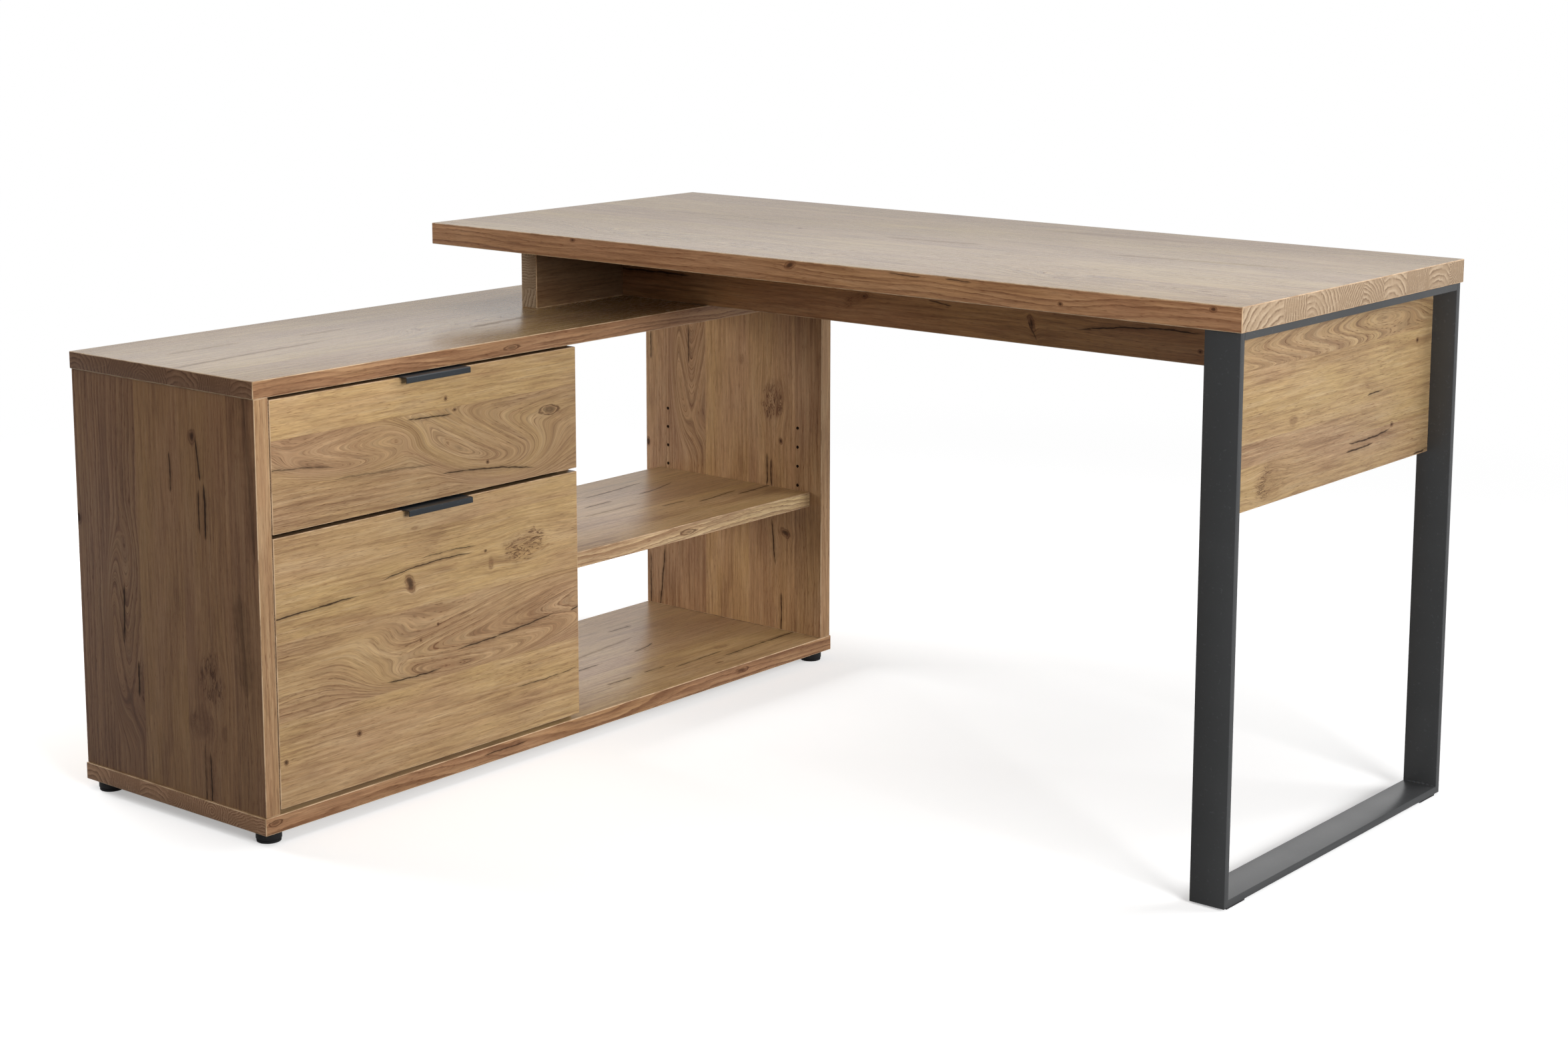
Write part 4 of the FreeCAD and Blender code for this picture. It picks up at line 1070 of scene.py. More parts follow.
ANTHRACITE = Coat("anthracite_coat", (64, 65, 66), (58, 59, 60), (98, 100, 102), roughness=0.33)
PULL = Coat(
    "anthracite_pull", (50, 54, 58), (44, 48, 52), (80, 84, 88), roughness=0.36, fineness=1500.0, peel=0.03
)
PLASTIC = Coat(
    "black_plastic", (28, 28, 29), (22, 22, 23), (70, 70, 70), roughness=0.5, fineness=1300.0, peel=0.06
)
ZINC = Coat(
    "zinc_plate",
    (178, 181, 184),
    (160, 164, 169),
    (205, 205, 200),
    roughness=0.32,
    metallic=1.0,
    fineness=500.0,
    peel=0.02,
)
MELAMINE = Coat(
    "drawer_melamine", (197, 195, 190), (190, 188, 183), (170, 168, 163), fineness=1200.0, speck_share=0.35
)
HARDBOARD = Coat(
    "white_hardboard",
    (203, 202, 198),
    (196, 195, 191),
    (180, 178, 172),
    roughness=0.38,
    fineness=700.0,
    peel=0.04,
)
WELD = Coat(
    "weld_bead", (66, 68, 70), (55, 57, 59), (120, 122, 124), roughness=0.4, fineness=1200.0, peel=0.08
)
BEECH = Fibre("beech_dowel", (214, 180, 136), (178, 138, 96), scale=300.0)
CHIP = Fibre("chipboard_core", (88, 66, 48), (52, 38, 28), scale=600.0, roughness=0.85)
ARRIS = Arris()


@dataclass
class Dresser:
    """Holds what the pieces share: the node groups and each material, made once."""

    shop: Workshop = field(default_factory=Workshop)
    made: dict[str, Material] = field(default_factory=dict)

    def keep(self, name: str, build: Callable[[], Material]) -> Material:
        """The material of a name, built when it is first asked for.

        Args:
            name: The material's name.
            build: What makes it.

        Returns:
            The material.
        """
        if name not in self.made:
            self.made[name] = build()
        return self.made[name]

    def oak(self, face: OakFace, width: float) -> Material:
        """The material of a decor face, made once for each name and width."""
        return self.keep(face.title(width), lambda: face.build(self.shop, width))

    def coat(self, finish: Coat | OakEnd) -> Material:
        """The material of a coat or an end-grain band, which use the shared groups."""
        return self.keep(finish.name, lambda: finish.build(self.shop))

    def raw(self, finish: Fibre | Arris) -> Material:
        """The material of bare wood or a worn arris."""
        return self.keep(finish.name, finish.build)


# ---------------------------------------------------------------------------
# Meshes
# ---------------------------------------------------------------------------

SHARP_ANGLE = math.radians(40.0)
GRID_DIGITS = 9
MERGE_DIGITS = 8


def put_mesh(
    name: str,
    points: np.ndarray,
    faces: Sequence[Sequence[int]],
    slots: Sequence[int] = (),
    grain: np.ndarray | None = None,
) -> bpy.types.Object:
    """Makes an object at the origin from finished points and faces, smooth but for its sharp edges.

    Args:
        name: The piece's name.
        points: One row of x, y, z per vertex, in metres.
        faces: Vertex numbers of each face, anticlockwise from outside.
        slots: The material slot of each face.
        grain: The grain coordinates of each vertex.

    Returns:
        The new object.
    """
    mesh = bpy.data.meshes.new(name)
    mesh.from_pydata(points.tolist(), [], faces)
    if len(slots):
        mesh.polygons.foreach_set("material_index", np.asarray(slots, np.int32))
    if grain is not None:
        made = mesh.attributes.new(GRAIN_ATTRIBUTE, "FLOAT_VECTOR", "POINT")
        made.data.foreach_set("vector", np.asarray(grain, np.float32).ravel())
    mesh.validate()
    mesh.polygons.foreach_set("use_smooth", np.ones(len(mesh.polygons), bool))
    mesh.set_sharp_from_angle(angle=SHARP_ANGLE)
    mesh.update()
    return put_object(name, mesh)


def put_object(name: str, data: Any) -> bpy.types.Object:
    """Puts a mesh, lamp or camera into the scene.

    Args:
        name: The object's name.
        data: What it shows.

    Returns:
        The new object.
    """
    made = bpy.data.objects.new(name, data)
    bpy.context.scene.collection.objects.link(made)
    return made


def turned_over(faces: Faces) -> Faces:
    """Faces seen from their other side."""
    return [face[::-1] for face in faces]


def stations(length: float, radius: float, steps: int, cuts: Sequence[float] = ()) -> np.ndarray:
    """Grid stations along one side of a board: close together in the arris, and at the cuts.

    Args:
        length: The side's length.
        radius: The arris radius.
        steps: Grid cells in each arris.
        cuts: Further stations between the arrises.

    Returns:
        The stations from 0 to length, in order.
    """
    near = radius * np.arange(steps + 1) / steps
    rows = np.concatenate([near, length - near, np.asarray(cuts, float)])
    return np.unique(np.round(rows, GRID_DIGITS))


def face_grid(first: np.ndarray, second: np.ndarray) -> tuple[np.ndarray, np.ndarray]:
    """A grid over two sets of stations.

    Args:
        first: Stations along the first parameter.
        second: Stations along the second.

    Returns:
        The grid's parameter pairs, and its quads as four vertex numbers each.
    """
    a, b = np.meshgrid(first, second, indexing="ij")
    rows, columns = len(first), len(second)
    corner = (np.arange(rows - 1)[:, None] * columns + np.arange(columns - 1)[None, :]).ravel()
    quads = np.stack([corner, corner + columns, corner + columns + 1, corner + 1], axis=1)
    return np.stack([a.ravel(), b.ravel()], axis=1), quads


def tube_quads(rings: int, around: int, first: int = 0) -> Faces:
    """The quads between closed rings of vertices that follow each other.

    Args:
        rings: How many rings there are.
        around: Vertices in each ring.
        first: The first ring's first vertex.

    Returns:
        The quads, round each ring in turn.
    """
    step = np.arange(around)
    after = (step + 1) % around
    level = (first + np.arange(rings - 1) * around)[:, None]
    ring = [level + step, level + after, level + around + after, level + around + step]
    return np.stack(ring, axis=2).reshape(-1, 4).tolist()


@dataclass(frozen=True)
class Hole:
    """A blind hole in a board's shown face: its centre from the corner, radius and depth, in metres.

    It is cut from a square patch of so many radii to each side, and its mouth is a little rounded.
    """

    along: float
    across: float
    radius: float
    depth: float
    sides: int = 16
    patch: float = 2.2
    mouth: float = 0.25 * MM

    def cuts(self, centre: float) -> tuple[float, float]:
        """The grid lines at both sides of the square patch that the hole is cut from."""
        reach = self.radius * self.patch
        return round(centre - reach, GRID_DIGITS), round(centre + reach, GRID_DIGITS)


class BoardSlot(IntEnum):
    """The material slots of a board."""

    FACE = 0
    BACK = 1
    EDGE = 2
    END = 3
    ARRIS = 4
    BORE = 5


BOARD_SIDES = (
    (2, True, BoardSlot.FACE),
    (2, False, BoardSlot.BACK),
    (1, False, BoardSlot.EDGE),
    (1, True, BoardSlot.EDGE),
    (0, False, BoardSlot.END),
    (0, True, BoardSlot.END),
)


@dataclass
class BoardMesh:
    """The closed surface of a board with rounded arrises, in its own grain coordinates.

    A point q on the plain box is moved to c + r (q - c) / |q - c|, where c is q held inside the
    box shrunk by the arris radius r.
    """

    size: tuple[float, float, float]
    radius: float = 1.1 * MM
    steps: int = 2
    holes: Sequence[Hole] = ()
    points: list[np.ndarray] = field(default_factory=list)
    faces: Faces = field(default_factory=list)
    slots: list[int] = field(default_factory=list)
    count: int = 0

    def add(self, points: np.ndarray, faces: Sequence[Sequence[int]], slots: Sequence[int]) -> None:
        """Adds a patch of its own.

        Args:
            points: The patch's points.
            faces: Its faces, numbered from its own first point.
            slots: The slot of each face.
        """
        self.points.append(points)
        self.faces += [[int(i) + self.count for i in face] for face in faces]
        self.slots += [int(s) for s in slots]
        self.count += len(points)

    def side(self, axis: int, far: bool, slot: BoardSlot, cuts: Sequence[Sequence[float]]) -> None:
        """Adds one of the six sides as a grid.

        Args:
            axis: The side's normal, 0 along the grain, 1 across it, 2 through the board.
            far: Whether it is the side at the axis's far end.
            slot: The material slot of its flat part.
            cuts: Further stations along each axis.
        """
        first, second = (i for i in range(3) if i != axis)
        lines = [stations(self.size[i], self.radius, self.steps, cuts[i]) for i in (first, second)]
        pairs, quads = face_grid(*lines)
        size = np.array(self.size)
        box = np.zeros((len(pairs), 3))
        box[:, [first, second]] = pairs
        box[:, axis] = size[axis] if far else 0.0
        core = np.clip(box, self.radius, size - self.radius)
        away = box - core
        rounded = core + self.radius * away / np.linalg.norm(away, axis=1, keepdims=True)
        middle = pairs[quads].mean(axis=1)
        limits = size[[first, second]]
        flat = np.all((middle > self.radius) & (middle < limits - self.radius), axis=1)
        slots = np.where(flat, slot, BoardSlot.ARRIS)
        if (axis != 1) != far:
            quads = quads[:, ::-1]
        keep = np.ones(len(quads), bool)
        if slot is BoardSlot.FACE:
            for hole in self.holes:
                off = np.abs(middle - np.array([hole.along, hole.across]))
                keep &= np.any(off > hole.radius * hole.patch, axis=1)
        self.add(rounded, quads[keep].tolist(), slots[keep])

    def bore(self, hole: Hole) -> None:
        """Adds a blind hole: four patches round its mouth, its wall and its floor.

        The wall is the circle's points carried down by the depth, with a small round at the mouth.
        The circle starts an eighth of a turn on, so that a quarter of it faces each side of the patch.

        Args:
            hole: The hole.
        """
        top = self.size[2]
        centre = np.array([hole.along, hole.across])
        square = np.array([[1, 1], [-1, 1], [-1, -1], [1, -1]], float) * hole.radius * hole.patch
        angle = (np.arange(hole.sides) / hole.sides + 0.125) * 2.0 * math.pi
        circle = np.stack([np.cos(angle), np.sin(angle)], axis=1)
        rings = (
            (hole.radius + hole.mouth, 0.0),
            (hole.radius, -hole.mouth),
            (hole.radius, -hole.depth),
        )
        points = [np.column_stack([square + centre, np.full(4, top)])]
        for radius, drop in rings:
            points.append(np.column_stack([circle * radius + centre, np.full(hole.sides, top + drop)]))
        quarter = hole.sides // 4
        faces = []
        for k in range(4):
            bow = [4 + (k * quarter + i) % hole.sides for i in range(quarter + 1)]
            faces.append([k, (k + 1) % 4] + bow[::-1])
        wall = tube_quads(len(rings), hole.sides, 4)
        last = 4 + (len(rings) - 1) * hole.sides
        floor = list(range(last, last + hole.sides))
        slots = [BoardSlot.FACE] * 4 + [BoardSlot.BORE] * (len(wall) + 1)
        self.add(np.vstack(points), [*faces, *wall, floor], slots)

    def build(self) -> tuple[np.ndarray, Faces, list[int]]:
        """Works out the whole board.

        Returns:
            Points in grain coordinates, faces, and the slot of each face.
        """
        along = sorted({cut for hole in self.holes for cut in hole.cuts(hole.along)})
        across = sorted({cut for hole in self.holes for cut in hole.cuts(hole.across)})
        for axis, far, slot in BOARD_SIDES:
            self.side(axis, far, slot, (along, across, ()))
        for hole in self.holes:
            self.bore(hole)
        points = np.round(np.vstack(self.points), MERGE_DIGITS)
        whole, back = np.unique(points, axis=0, return_inverse=True)
        back = back.ravel()
        return whole, [[int(back[i]) for i in face] for face in self.faces], self.slots


def turned_grid(profile: np.ndarray, sides: int, centre: Point) -> tuple[np.ndarray, Faces]:
    """A turned piece: the profile's radius and height carried round the Z axis.

    Args:
        profile: Rows of radius and height from the top's centre to the floor's centre.
        sides: Steps round the axis.
        centre: The axis's foot, in metres.

    Returns:
        Points and faces, closed by a fan at each pole.
    """
    angle = 2.0 * math.pi * np.arange(sides) / sides
    ring = np.stack([np.cos(angle), np.sin(angle)], axis=1)
    body = profile[1:-1]
    spread = body[:, None, :1] * ring[None, :, :]
    heights = np.repeat(body[:, None, 1:], sides, axis=1)
    wall = np.concatenate([spread, heights], axis=2).reshape(-1, 3)
    poles = np.array([[0.0, 0.0, profile[0, 1]], [0.0, 0.0, profile[-1, 1]]])
    step = np.arange(sides)
    after = (step + 1) % sides
    last = len(wall) - sides
    cap = np.stack([np.full(sides, len(wall)), step, after], axis=1)
    base = np.stack([np.full(sides, len(wall) + 1), last + after, last + step], axis=1)
    faces = turned_over(tube_quads(len(body), sides)) + cap.tolist() + base.tolist()
    return np.vstack([wall, poles]) + np.array(centre), faces


def arc(centre: tuple[float, float], radius: float, start: float, stop: float, steps: int) -> np.ndarray:
    """Points of a circle's arc from start to stop, in degrees."""
    angle = np.radians(np.linspace(start, stop, steps + 1))
    return np.stack([centre[0] + radius * np.cos(angle), centre[1] + radius * np.sin(angle)], axis=1)


def section_sweep(section: np.ndarray, path: np.ndarray, sides: np.ndarray) -> tuple[np.ndarray, Faces]:
    """A closed section carried along an open path, with mitred corners and flat ends.

    At each path point the section's first value goes along sides and its second along X.

    Args:
        section: Rows of inward distance and X, in order round the section.
        path: Path points in Y and Z.
        sides: The inward direction in Y and Z at each point, longer at a mitre.

    Returns:
        Points and faces.
    """
    turns, around = len(path), len(section)
    x = np.repeat(section[None, :, 1], turns, axis=0)
    yz = path[:, None, :] + section[None, :, :1] * sides[:, None, :]
    points = np.concatenate([x[:, :, None], yz], axis=2).reshape(-1, 3)
    last = (turns - 1) * around
    caps = [list(range(around))[::-1], list(range(last, last + around))]
    return points, tube_quads(turns, around) + caps


def rounded_loop(width: float, height: float, radius: float, steps: int) -> np.ndarray:
    """A rectangle from the origin with rounded corners, anticlockwise.

    Args:
        width: Its first size.
        height: Its second size.
        radius: The corners' radius.
        steps: Steps in each corner.

    Returns:
        Its points in order.
    """
    parts = []
    for x, y, start in ((width, height, 0.0), (0.0, height, 90.0), (0.0, 0.0, 180.0), (width, 0.0, 270.0)):
        parts.append(arc((abs(x - radius), abs(y - radius)), radius, start, start + 90.0, steps))
    return np.vstack(parts)


# ---------------------------------------------------------------------------
# Boards
# ---------------------------------------------------------------------------

PLAIN_FACE = OakFace("oak_face_plain", seed=31.0, arches=(Arch(380, 150, 260, 60), Arch(900, 320, 300, 70)))
PLAIN_BACK = OakFace("oak_back_plain", seed=47.0, arches=(Arch(300, 200, 280, 70),))
PLAIN_EDGE = OakFace(
    "oak_edge_plain",
    planks=(Plank(REST, 0.42, 0.55, 0.3),),
    seed=59.0,
    wander=40.0,
    roughness=0.48,
    level=0.97,
    red=0.3,
    swap=True,
)
PLAIN_END = OakEnd()
TURNED_ORDERS = ([0, 2, 1], [1, 0, 2], [2, 1, 0])


@dataclass
class Board:
    """A decor board that stands for one CAD node: which way its grain runs and what is on it.

    Its shown face is the far one through the board, or the near one where it is flipped.
    """

    node: str
    along: Axis
    across: Axis
    through: Axis
    flip: bool = False
    face: OakFace = PLAIN_FACE
    back: OakFace = PLAIN_BACK
    edge: OakFace = PLAIN_EDGE
    end: OakEnd = PLAIN_END
    holes: Sequence[Hole] = ()
    body: str = "desk"

    def build(self, desk: Dresser) -> bpy.types.Object:
        """Makes the board's mesh in its place and dresses each of its sides.

        Args:
            desk: The shared groups and materials.

        Returns:
            The board, which rides on its body and stands for its CAD node.
        """
        low, high = (np.array(corner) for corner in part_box(self.node))
        order = [self.along.value, self.across.value, self.through.value]
        long, width, thick = (float(s) for s in (high - low)[order])
        grain, faces, slots = BoardMesh((long, width, thick), holes=self.holes).build()
        points = np.zeros_like(grain)
        points[:, order] = grain
        if self.flip:
            points[:, order[2]] = thick - grain[:, 2]
        if (order in TURNED_ORDERS) != self.flip:
            faces = turned_over(faces)
        piece = put_mesh(self.node + "_board", points + low, faces, slots, grain)
        for material in (
            desk.oak(self.face, width),
            desk.oak(self.back, width),
            desk.oak(self.edge, thick),
            desk.coat(self.end),
            desk.raw(ARRIS),
            desk.raw(CHIP),
        ):
            piece.data.materials.append(material)
        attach(piece, self.body)
        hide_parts(self.node)
        return piece


# ---------------------------------------------------------------------------
# The decor of each board
# ---------------------------------------------------------------------------

LOWER_FRONT = OakFace(
    "oak_lower_front",
    planks=(
        Plank(30, 0.45, 0.3, 0.5),
        Plank(118, 0.5, 0.35, 0.6),
        Plank(227, 0.45, 0.75, 0.35),
        Plank(335, 0.5, 0.3, 0.75),
        Plank(REST, 0.48, 0.45, 0.6),
    ),
    knots=(
        Knot(240, 262, 9, 16, turn=25),
        Knot(465, 280, 46, 27, KnotKind.FEATHER),
        Knot(395, 262, 6, 11, KnotKind.SMUDGE),
        Knot(140, 72, 5, 5),
        # This small smudge just under the pull paints the pull's shadow.
        Knot(250, 340, 9, 3, KnotKind.SMUDGE),
        Knot(290, 195, 3, 3),
        Knot(257, 179, 3, 3),
        Knot(385, 283, 4, 3),
        Knot(11, 63, 4, 4),
    ),
    cracks=(
        Crack(-60, 150, 258, 7, 0, 2.2),
        Crack(185, 365, 277, 8, 5, 1.5),
        Crack(258, 370, 295, -1, 2, 1.0),
        Crack(320, 530, 151, 15, -3, 1.8),
        Crack(190, 300, 132, -1, -2, 1.8),
        Crack(556, 590, 161, 8, 0, 2.0),
        Crack(440, 575, 70, 3, -2, 1.0),
    ),
    arches=(Arch(400, 170, 260, 60, 0.12, 0.05, 118, 227),),
    seed=1.0,
)
UPPER_FRONT = OakFace(
    "oak_upper_front",
    planks=(Plank(125, 0.45, 0.62, 0.35), Plank(REST, 0.55, 0.25, 0.8)),
    knots=(
        Knot(517, 95, 23, 8, KnotKind.EYE),
        Knot(313, 139, 4, 4),
        Knot(330, 121, 5, 3),
        Knot(392, 37, 4, 4),
    ),
    cracks=(
        Crack(238, 327, 119, -4, 0, 1.8),
        Crack(298, 492, 34, -21, 4, 1.8),
        Crack(-30, 112, 85, -12, 4, 1.6, 0.8),
        Crack(105, 300, 57, -9, 2, 1.2, 0.6),
    ),
    arches=(
        Arch(380, 110, 170, 90, 0.22, -0.25, ceiling=125),
        Arch(130, 98, 130, 36, 0.18, -0.05, ceiling=125),
    ),
    seed=2.0,
)
LEFT_PANEL_SHADED = OakFace(
    "oak_left_panel_painted_shade",
    planks=(
        Plank(135, 0.44, 0.9, 0.1),
        Plank(230, 0.56, 0.4, 0.6),
        Plank(330, 0.48, 0.45, 0.4),
        Plank(REST, 0.3, 0.6, 0.2),
    ),
    knots=(
        Knot(170, 286, 42, 27, KnotKind.FEATHER),
        Knot(105, 260, 26, 30, KnotKind.SMUDGE),
        Knot(500, 258, 13, 9),
        Knot(355, 3, 12, 7),
        Knot(100, 305, 14, 7, KnotKind.SMUDGE),
    ),
    cracks=(
        Crack(416, 476, 208, 0, 1, 2.0),
        Crack(440, 502, 272, -8, 0, 3.0),
        Crack(360, 442, 278, 0, 2, 3.5),
        Crack(366, 432, 268, 0, -1, 2.0),
        Crack(-20, 82, 263, 0, 0, 2.0),
        Crack(-20, 72, 274, 0, 1, 2.5),
        Crack(186, 278, 95, 5, 0, 3.0),
        Crack(116, 172, 125, 0, 0, 3.0),
        Crack(156, 304, 355, -10, 0, 8.0, 0.45),
        Crack(340, 620, 380, -20, 0, 5.0, 0.5),
    ),
    arches=(Arch(215, 104, 150, 44, 0.2, ceiling=135),),
    seed=3.0,
    # The low level paints the shade on this outer side, and the red paints the warm light bounced into that
    # shade.
    level=0.76,
    red=1.2,
    roughness=0.46,
)
RIGHT_PANEL = OakFace(
    "oak_right_panel",
    planks=(
        Plank(135, 0.44, 0.66, 0.1),
        Plank(230, 0.56, 0.4, 0.6),
        Plank(330, 0.48, 0.45, 0.4),
        Plank(REST, 0.3, 0.6, 0.2),
    ),
    knots=(
        Knot(388, 287, 38, 25, KnotKind.FEATHER),
        Knot(322, 300, 6, 5),
        Knot(168, 310, 9, 15, turn=20),
        Knot(450, 215, 10, 7, KnotKind.SMUDGE),
        Knot(285, 4, 9, 5),
    ),
    cracks=(
        Crack(240, 300, 270, 0, 1, 2.2),
        Crack(240, 292, 280, 0, -1, 2.2),
        Crack(108, 190, 289, -9, 0, 2.5),
        Crack(-20, 68, 301, 0, 1, 2.5),
        Crack(-20, 108, 28, 15, 0, 2.5),
        Crack(-20, 97, 8, 0, 1, 2.0),
        Crack(428, 502, 97, 0, 1, 2.0),
        Crack(428, 482, 12, 0, 0, 2.0),
    ),
    arches=(Arch(445, 104, 150, 44, 0.2, ceiling=135),),
    seed=3.0,
    # The level and the red paint light onto this shaded inner face: a little lighter, and warmer as bounced
    # light.
    level=1.07,
    red=0.5,
)
SHELF_TOP = OakFace(
    "oak_shelf",
    cracks=(
        Crack(486, 590, 250, -6, 0, 3.0),
        Crack(400, 512, 240, -13, 0, 2.5),
        Crack(338, 398, 215, 2, 0, 2.0),
        Crack(200, 342, 175, -2, 0, 2.0, 0.6),
        Crack(248, 322, 129, -2, 0, 2.0),
        Crack(378, 492, 127, -24, 4, 2.0),
        Crack(298, 462, 80, -15, 2, 2.0),
    ),
    planks=(Plank(90, 0.5, 0.4, 0.5), Plank(200, 0.5, 0.5, 0.4), Plank(REST, 0.5, 0.35, 0.6)),
    seed=4.0,
    level=1.12,
    roughness=0.34,
)
BASE_TOP = OakFace(
    "oak_base",
    cracks=(
        Crack(986, 1200, 334, -7, 0, 3.0),
        Crack(888, 1022, 318, -7, 0, 2.0),
        Crack(748, 812, 303, 0, 1, 2.0),
        Crack(838, 892, 300, 1, 0, 2.0),
        Crack(758, 832, 216, -4, 0, 2.0),
        Crack(918, 982, 205, -15, 4, 2.0),
        Crack(798, 992, 168, -26, 0, 2.0, 0.6),
        Crack(978, 1042, 90, 0, 1, 2.0),
    ),
    knots=(Knot(960, 353, 13, 4), Knot(1035, 295, 20, 8, KnotKind.SMUDGE)),
    planks=(Plank(100, 0.5, 0.4, 0.5), Plank(250, 0.5, 0.5, 0.4), Plank(REST, 0.5, 0.35, 0.6)),
    seed=5.0,
    roughness=0.34,
)
CABINET_TOP = OakFace(
    "oak_cabinet_top",
    planks=(
        Plank(70, 0.5, 0.7, 0.6),
        Plank(180, 0.48, 0.85, 0.4),
        Plank(290, 0.5, 0.7, 0.6),
        Plank(REST, 0.46, 0.85, 0.4),
    ),
    cracks=(
        Crack(496, 672, 270, -18, 0, 3.0, 0.45),
        Crack(-20, 302, 230, -30, -4, 2.5, 0.6),
        Crack(288, 382, 140, -4, 0, 2.0, 0.45),
        Crack(58, 212, 128, -6, 0, 2.0, 0.45),
    ),
    arches=(Arch(620, 230, 240, 56, 0.14, floor=180, ceiling=290),),
    seed=6.0,
    roughness=0.26,
    # The lower level and the greyer cast from the negative red paint part of the top's sheen.
    level=0.95,
    red=-0.35,
)
DESK_TOP = OakFace(
    "oak_desk_top",
    planks=(
        Plank(58, 0.5, 0.75, 0.6),
        Plank(130, 0.48, 0.95, 0.4),
        Plank(250, 0.52, 0.7, 0.6),
        Plank(370, 0.48, 0.75, 0.4),
        Plank(500, 0.52, 0.7, 0.65),
        Plank(REST, 0.47, 0.85, 0.4),
    ),
    knots=(Knot(475, 302, 9, 6), Knot(560, 578, 44, 16, KnotKind.SMUDGE)),
    cracks=(
        Crack(46, 334, 335, 34, 0, 2.0, 0.5),
        Crack(636, 814, 293, 19, -3, 4.0, 0.45),
        Crack(986, 1284, 328, 30, 2, 3.0, 0.45),
        Crack(756, 1064, 515, 10, 0, 6.0, 0.35),
    ),
    arches=(
        Arch(480, 92, 260, 40, 0.14, floor=58, ceiling=130),
        Arch(1260, 92, 260, 40, 0.14, floor=58, ceiling=130),
    ),
    seed=7.0,
    roughness=0.27,
    # The lower level and the greyer cast from the negative red paint part of the top's sheen.
    level=0.92,
    red=-0.35,
)
END_PANEL = OakFace(
    "oak_end_panel",
    planks=(
        Plank(55, 0.5, 0.45, 0.5),
        Plank(85, 0.46, 0.5, 0.4),
        Plank(176, 0.53, 0.3, 0.75),
        Plank(REST, 0.46, 0.75, 0.35),
    ),
    knots=(
        Knot(130, 28, 44, 22, KnotKind.FEATHER),
        Knot(463, 54, 6, 5),
        Knot(530, 161, 4, 4),
        Knot(190, 98, 14, 7, KnotKind.SMUDGE),
    ),
    cracks=(
        Crack(338, 462, 46, 4, -4, 2.0),
        Crack(333, 412, 35, 2, -1, 2.0),
        Crack(388, 437, 104, 2, 0, 1.5),
        Crack(530, 590, 2, 3, 0, 2.5),
    ),
    arches=(Arch(190, 204, 330, 40, 0.17, floor=176),),
    seed=8.0,
    level=0.81,
    red=-0.2,
)
APRON = OakFace(
    "oak_apron",
    knots=(
        Knot(468, 38, 27, 11, KnotKind.FEATHER, turn=22),
        Knot(482, 42, 9, 6),
        Knot(778, 30, 7, 15, turn=20),
        Knot(1050, 18, 5, 4),
    ),
    cracks=(
        Crack(598, 642, 47, -5, 0, 1.4),
        Crack(772, 788, 33, -26, 0, 2.0),
        Crack(848, 1062, 28, 14, 6, 2.0),
        Crack(-20, 147, 43, 0, 1, 2.5),
    ),
    planks=(Plank(46, 0.46, 0.45, 0.5), Plank(REST, 0.5, 0.4, 0.6)),
    seed=9.0,
    # The red paints the warm light bounced into this shaded face under the desk top.
    level=1.1,
    red=1.2,
)
DIVIDER = OakFace(
    "oak_divider",
    planks=(Plank(135, 0.46, 0.5, 0.4), Plank(REST, 0.5, 0.35, 0.6)),
    seed=10.0,
)
FRONT_EDGE_SHADED = OakFace(
    "oak_front_edge_painted_shade",
    planks=(Plank(REST, 0.42, 0.4, 0.3),),
    seed=18.0,
    # The low level paints the shade of the gaps round the drawer fronts onto their top and bottom edges.
    level=0.55,
    swap=True,
)
SUPPORT_SHADED = OakFace(
    "oak_support_painted_shade",
    planks=(Plank(REST, 0.44, 0.5, 0.35),),
    seed=17.0,
    # The low level and the red paint the deep shade in the recess under the desk top.
    level=0.42,
    red=0.6,
)
DESK_EDGE = OakFace(
    "oak_desk_edge",
    planks=(Plank(REST, 0.46, 0.9, 0.2),),
    knots=(
        Knot(295, 28, 7, 4),
        Knot(702, 25, 12, 6, turn=20),
        Knot(1140, 12, 5, 4),
        Knot(1360, 26, 6, 4),
    ),
    cracks=(Crack(868, 925, 29, -2, 0, 1.0), Crack(960, 1005, 29, -2, 0, 1.0)),
    seed=11.0,
    pitch=10.0,
    wander=52.0,
    roughness=0.46,
    level=1.06,
    swap=True,
    # The red is partly the edge's own tone and partly painted warm light bounced onto its shaded front.
    red=1.2,
)
TOP_EDGE = OakFace(
    "oak_cabinet_top_edge",
    planks=(Plank(REST, 0.5, 1.0, 0.12),),
    knots=(Knot(468, 11, 23, 5, KnotKind.EYE),),
    seed=12.0,
    wander=70.0,
    roughness=0.46,
    level=0.86,
    swap=True,
    red=0.9,
)
BASE_EDGE = replace(
    TOP_EDGE,
    name="oak_cabinet_base_edge",
    knots=(Knot(15, 15, 16, 5, KnotKind.EYE), Knot(975, 15, 18, 5, KnotKind.EYE)),
    cracks=(Crack(398, 492, 12, 2, 1, 1.4),),
    seed=13.0,
    level=0.82,
)
SHELF_EDGE = replace(
    TOP_EDGE,
    name="oak_shelf_edge",
    planks=(Plank(REST, 0.56, 1.0, 0.12),),
    knots=(Knot(272, 11, 22, 6, KnotKind.EYE),),
    seed=14.0,
    level=1.27,
    red=-0.8,
)
DESK_END = OakEnd("oak_desk_end", seed=2.2, strip=64.0, pitch=6.0, level=0.92)
# The low level and the strong red on the cabinet top's ends paint the warm shade that falls on them.
TOP_END_SHADED = OakEnd("oak_cabinet_top_end_painted_shade", seed=4.7, strip=66.0, pitch=5.5, level=0.61, red=1.9)
BASE_END = OakEnd("oak_cabinet_base_end", seed=8.1, strip=66.0, pitch=5.5, level=1.1, red=1.5)


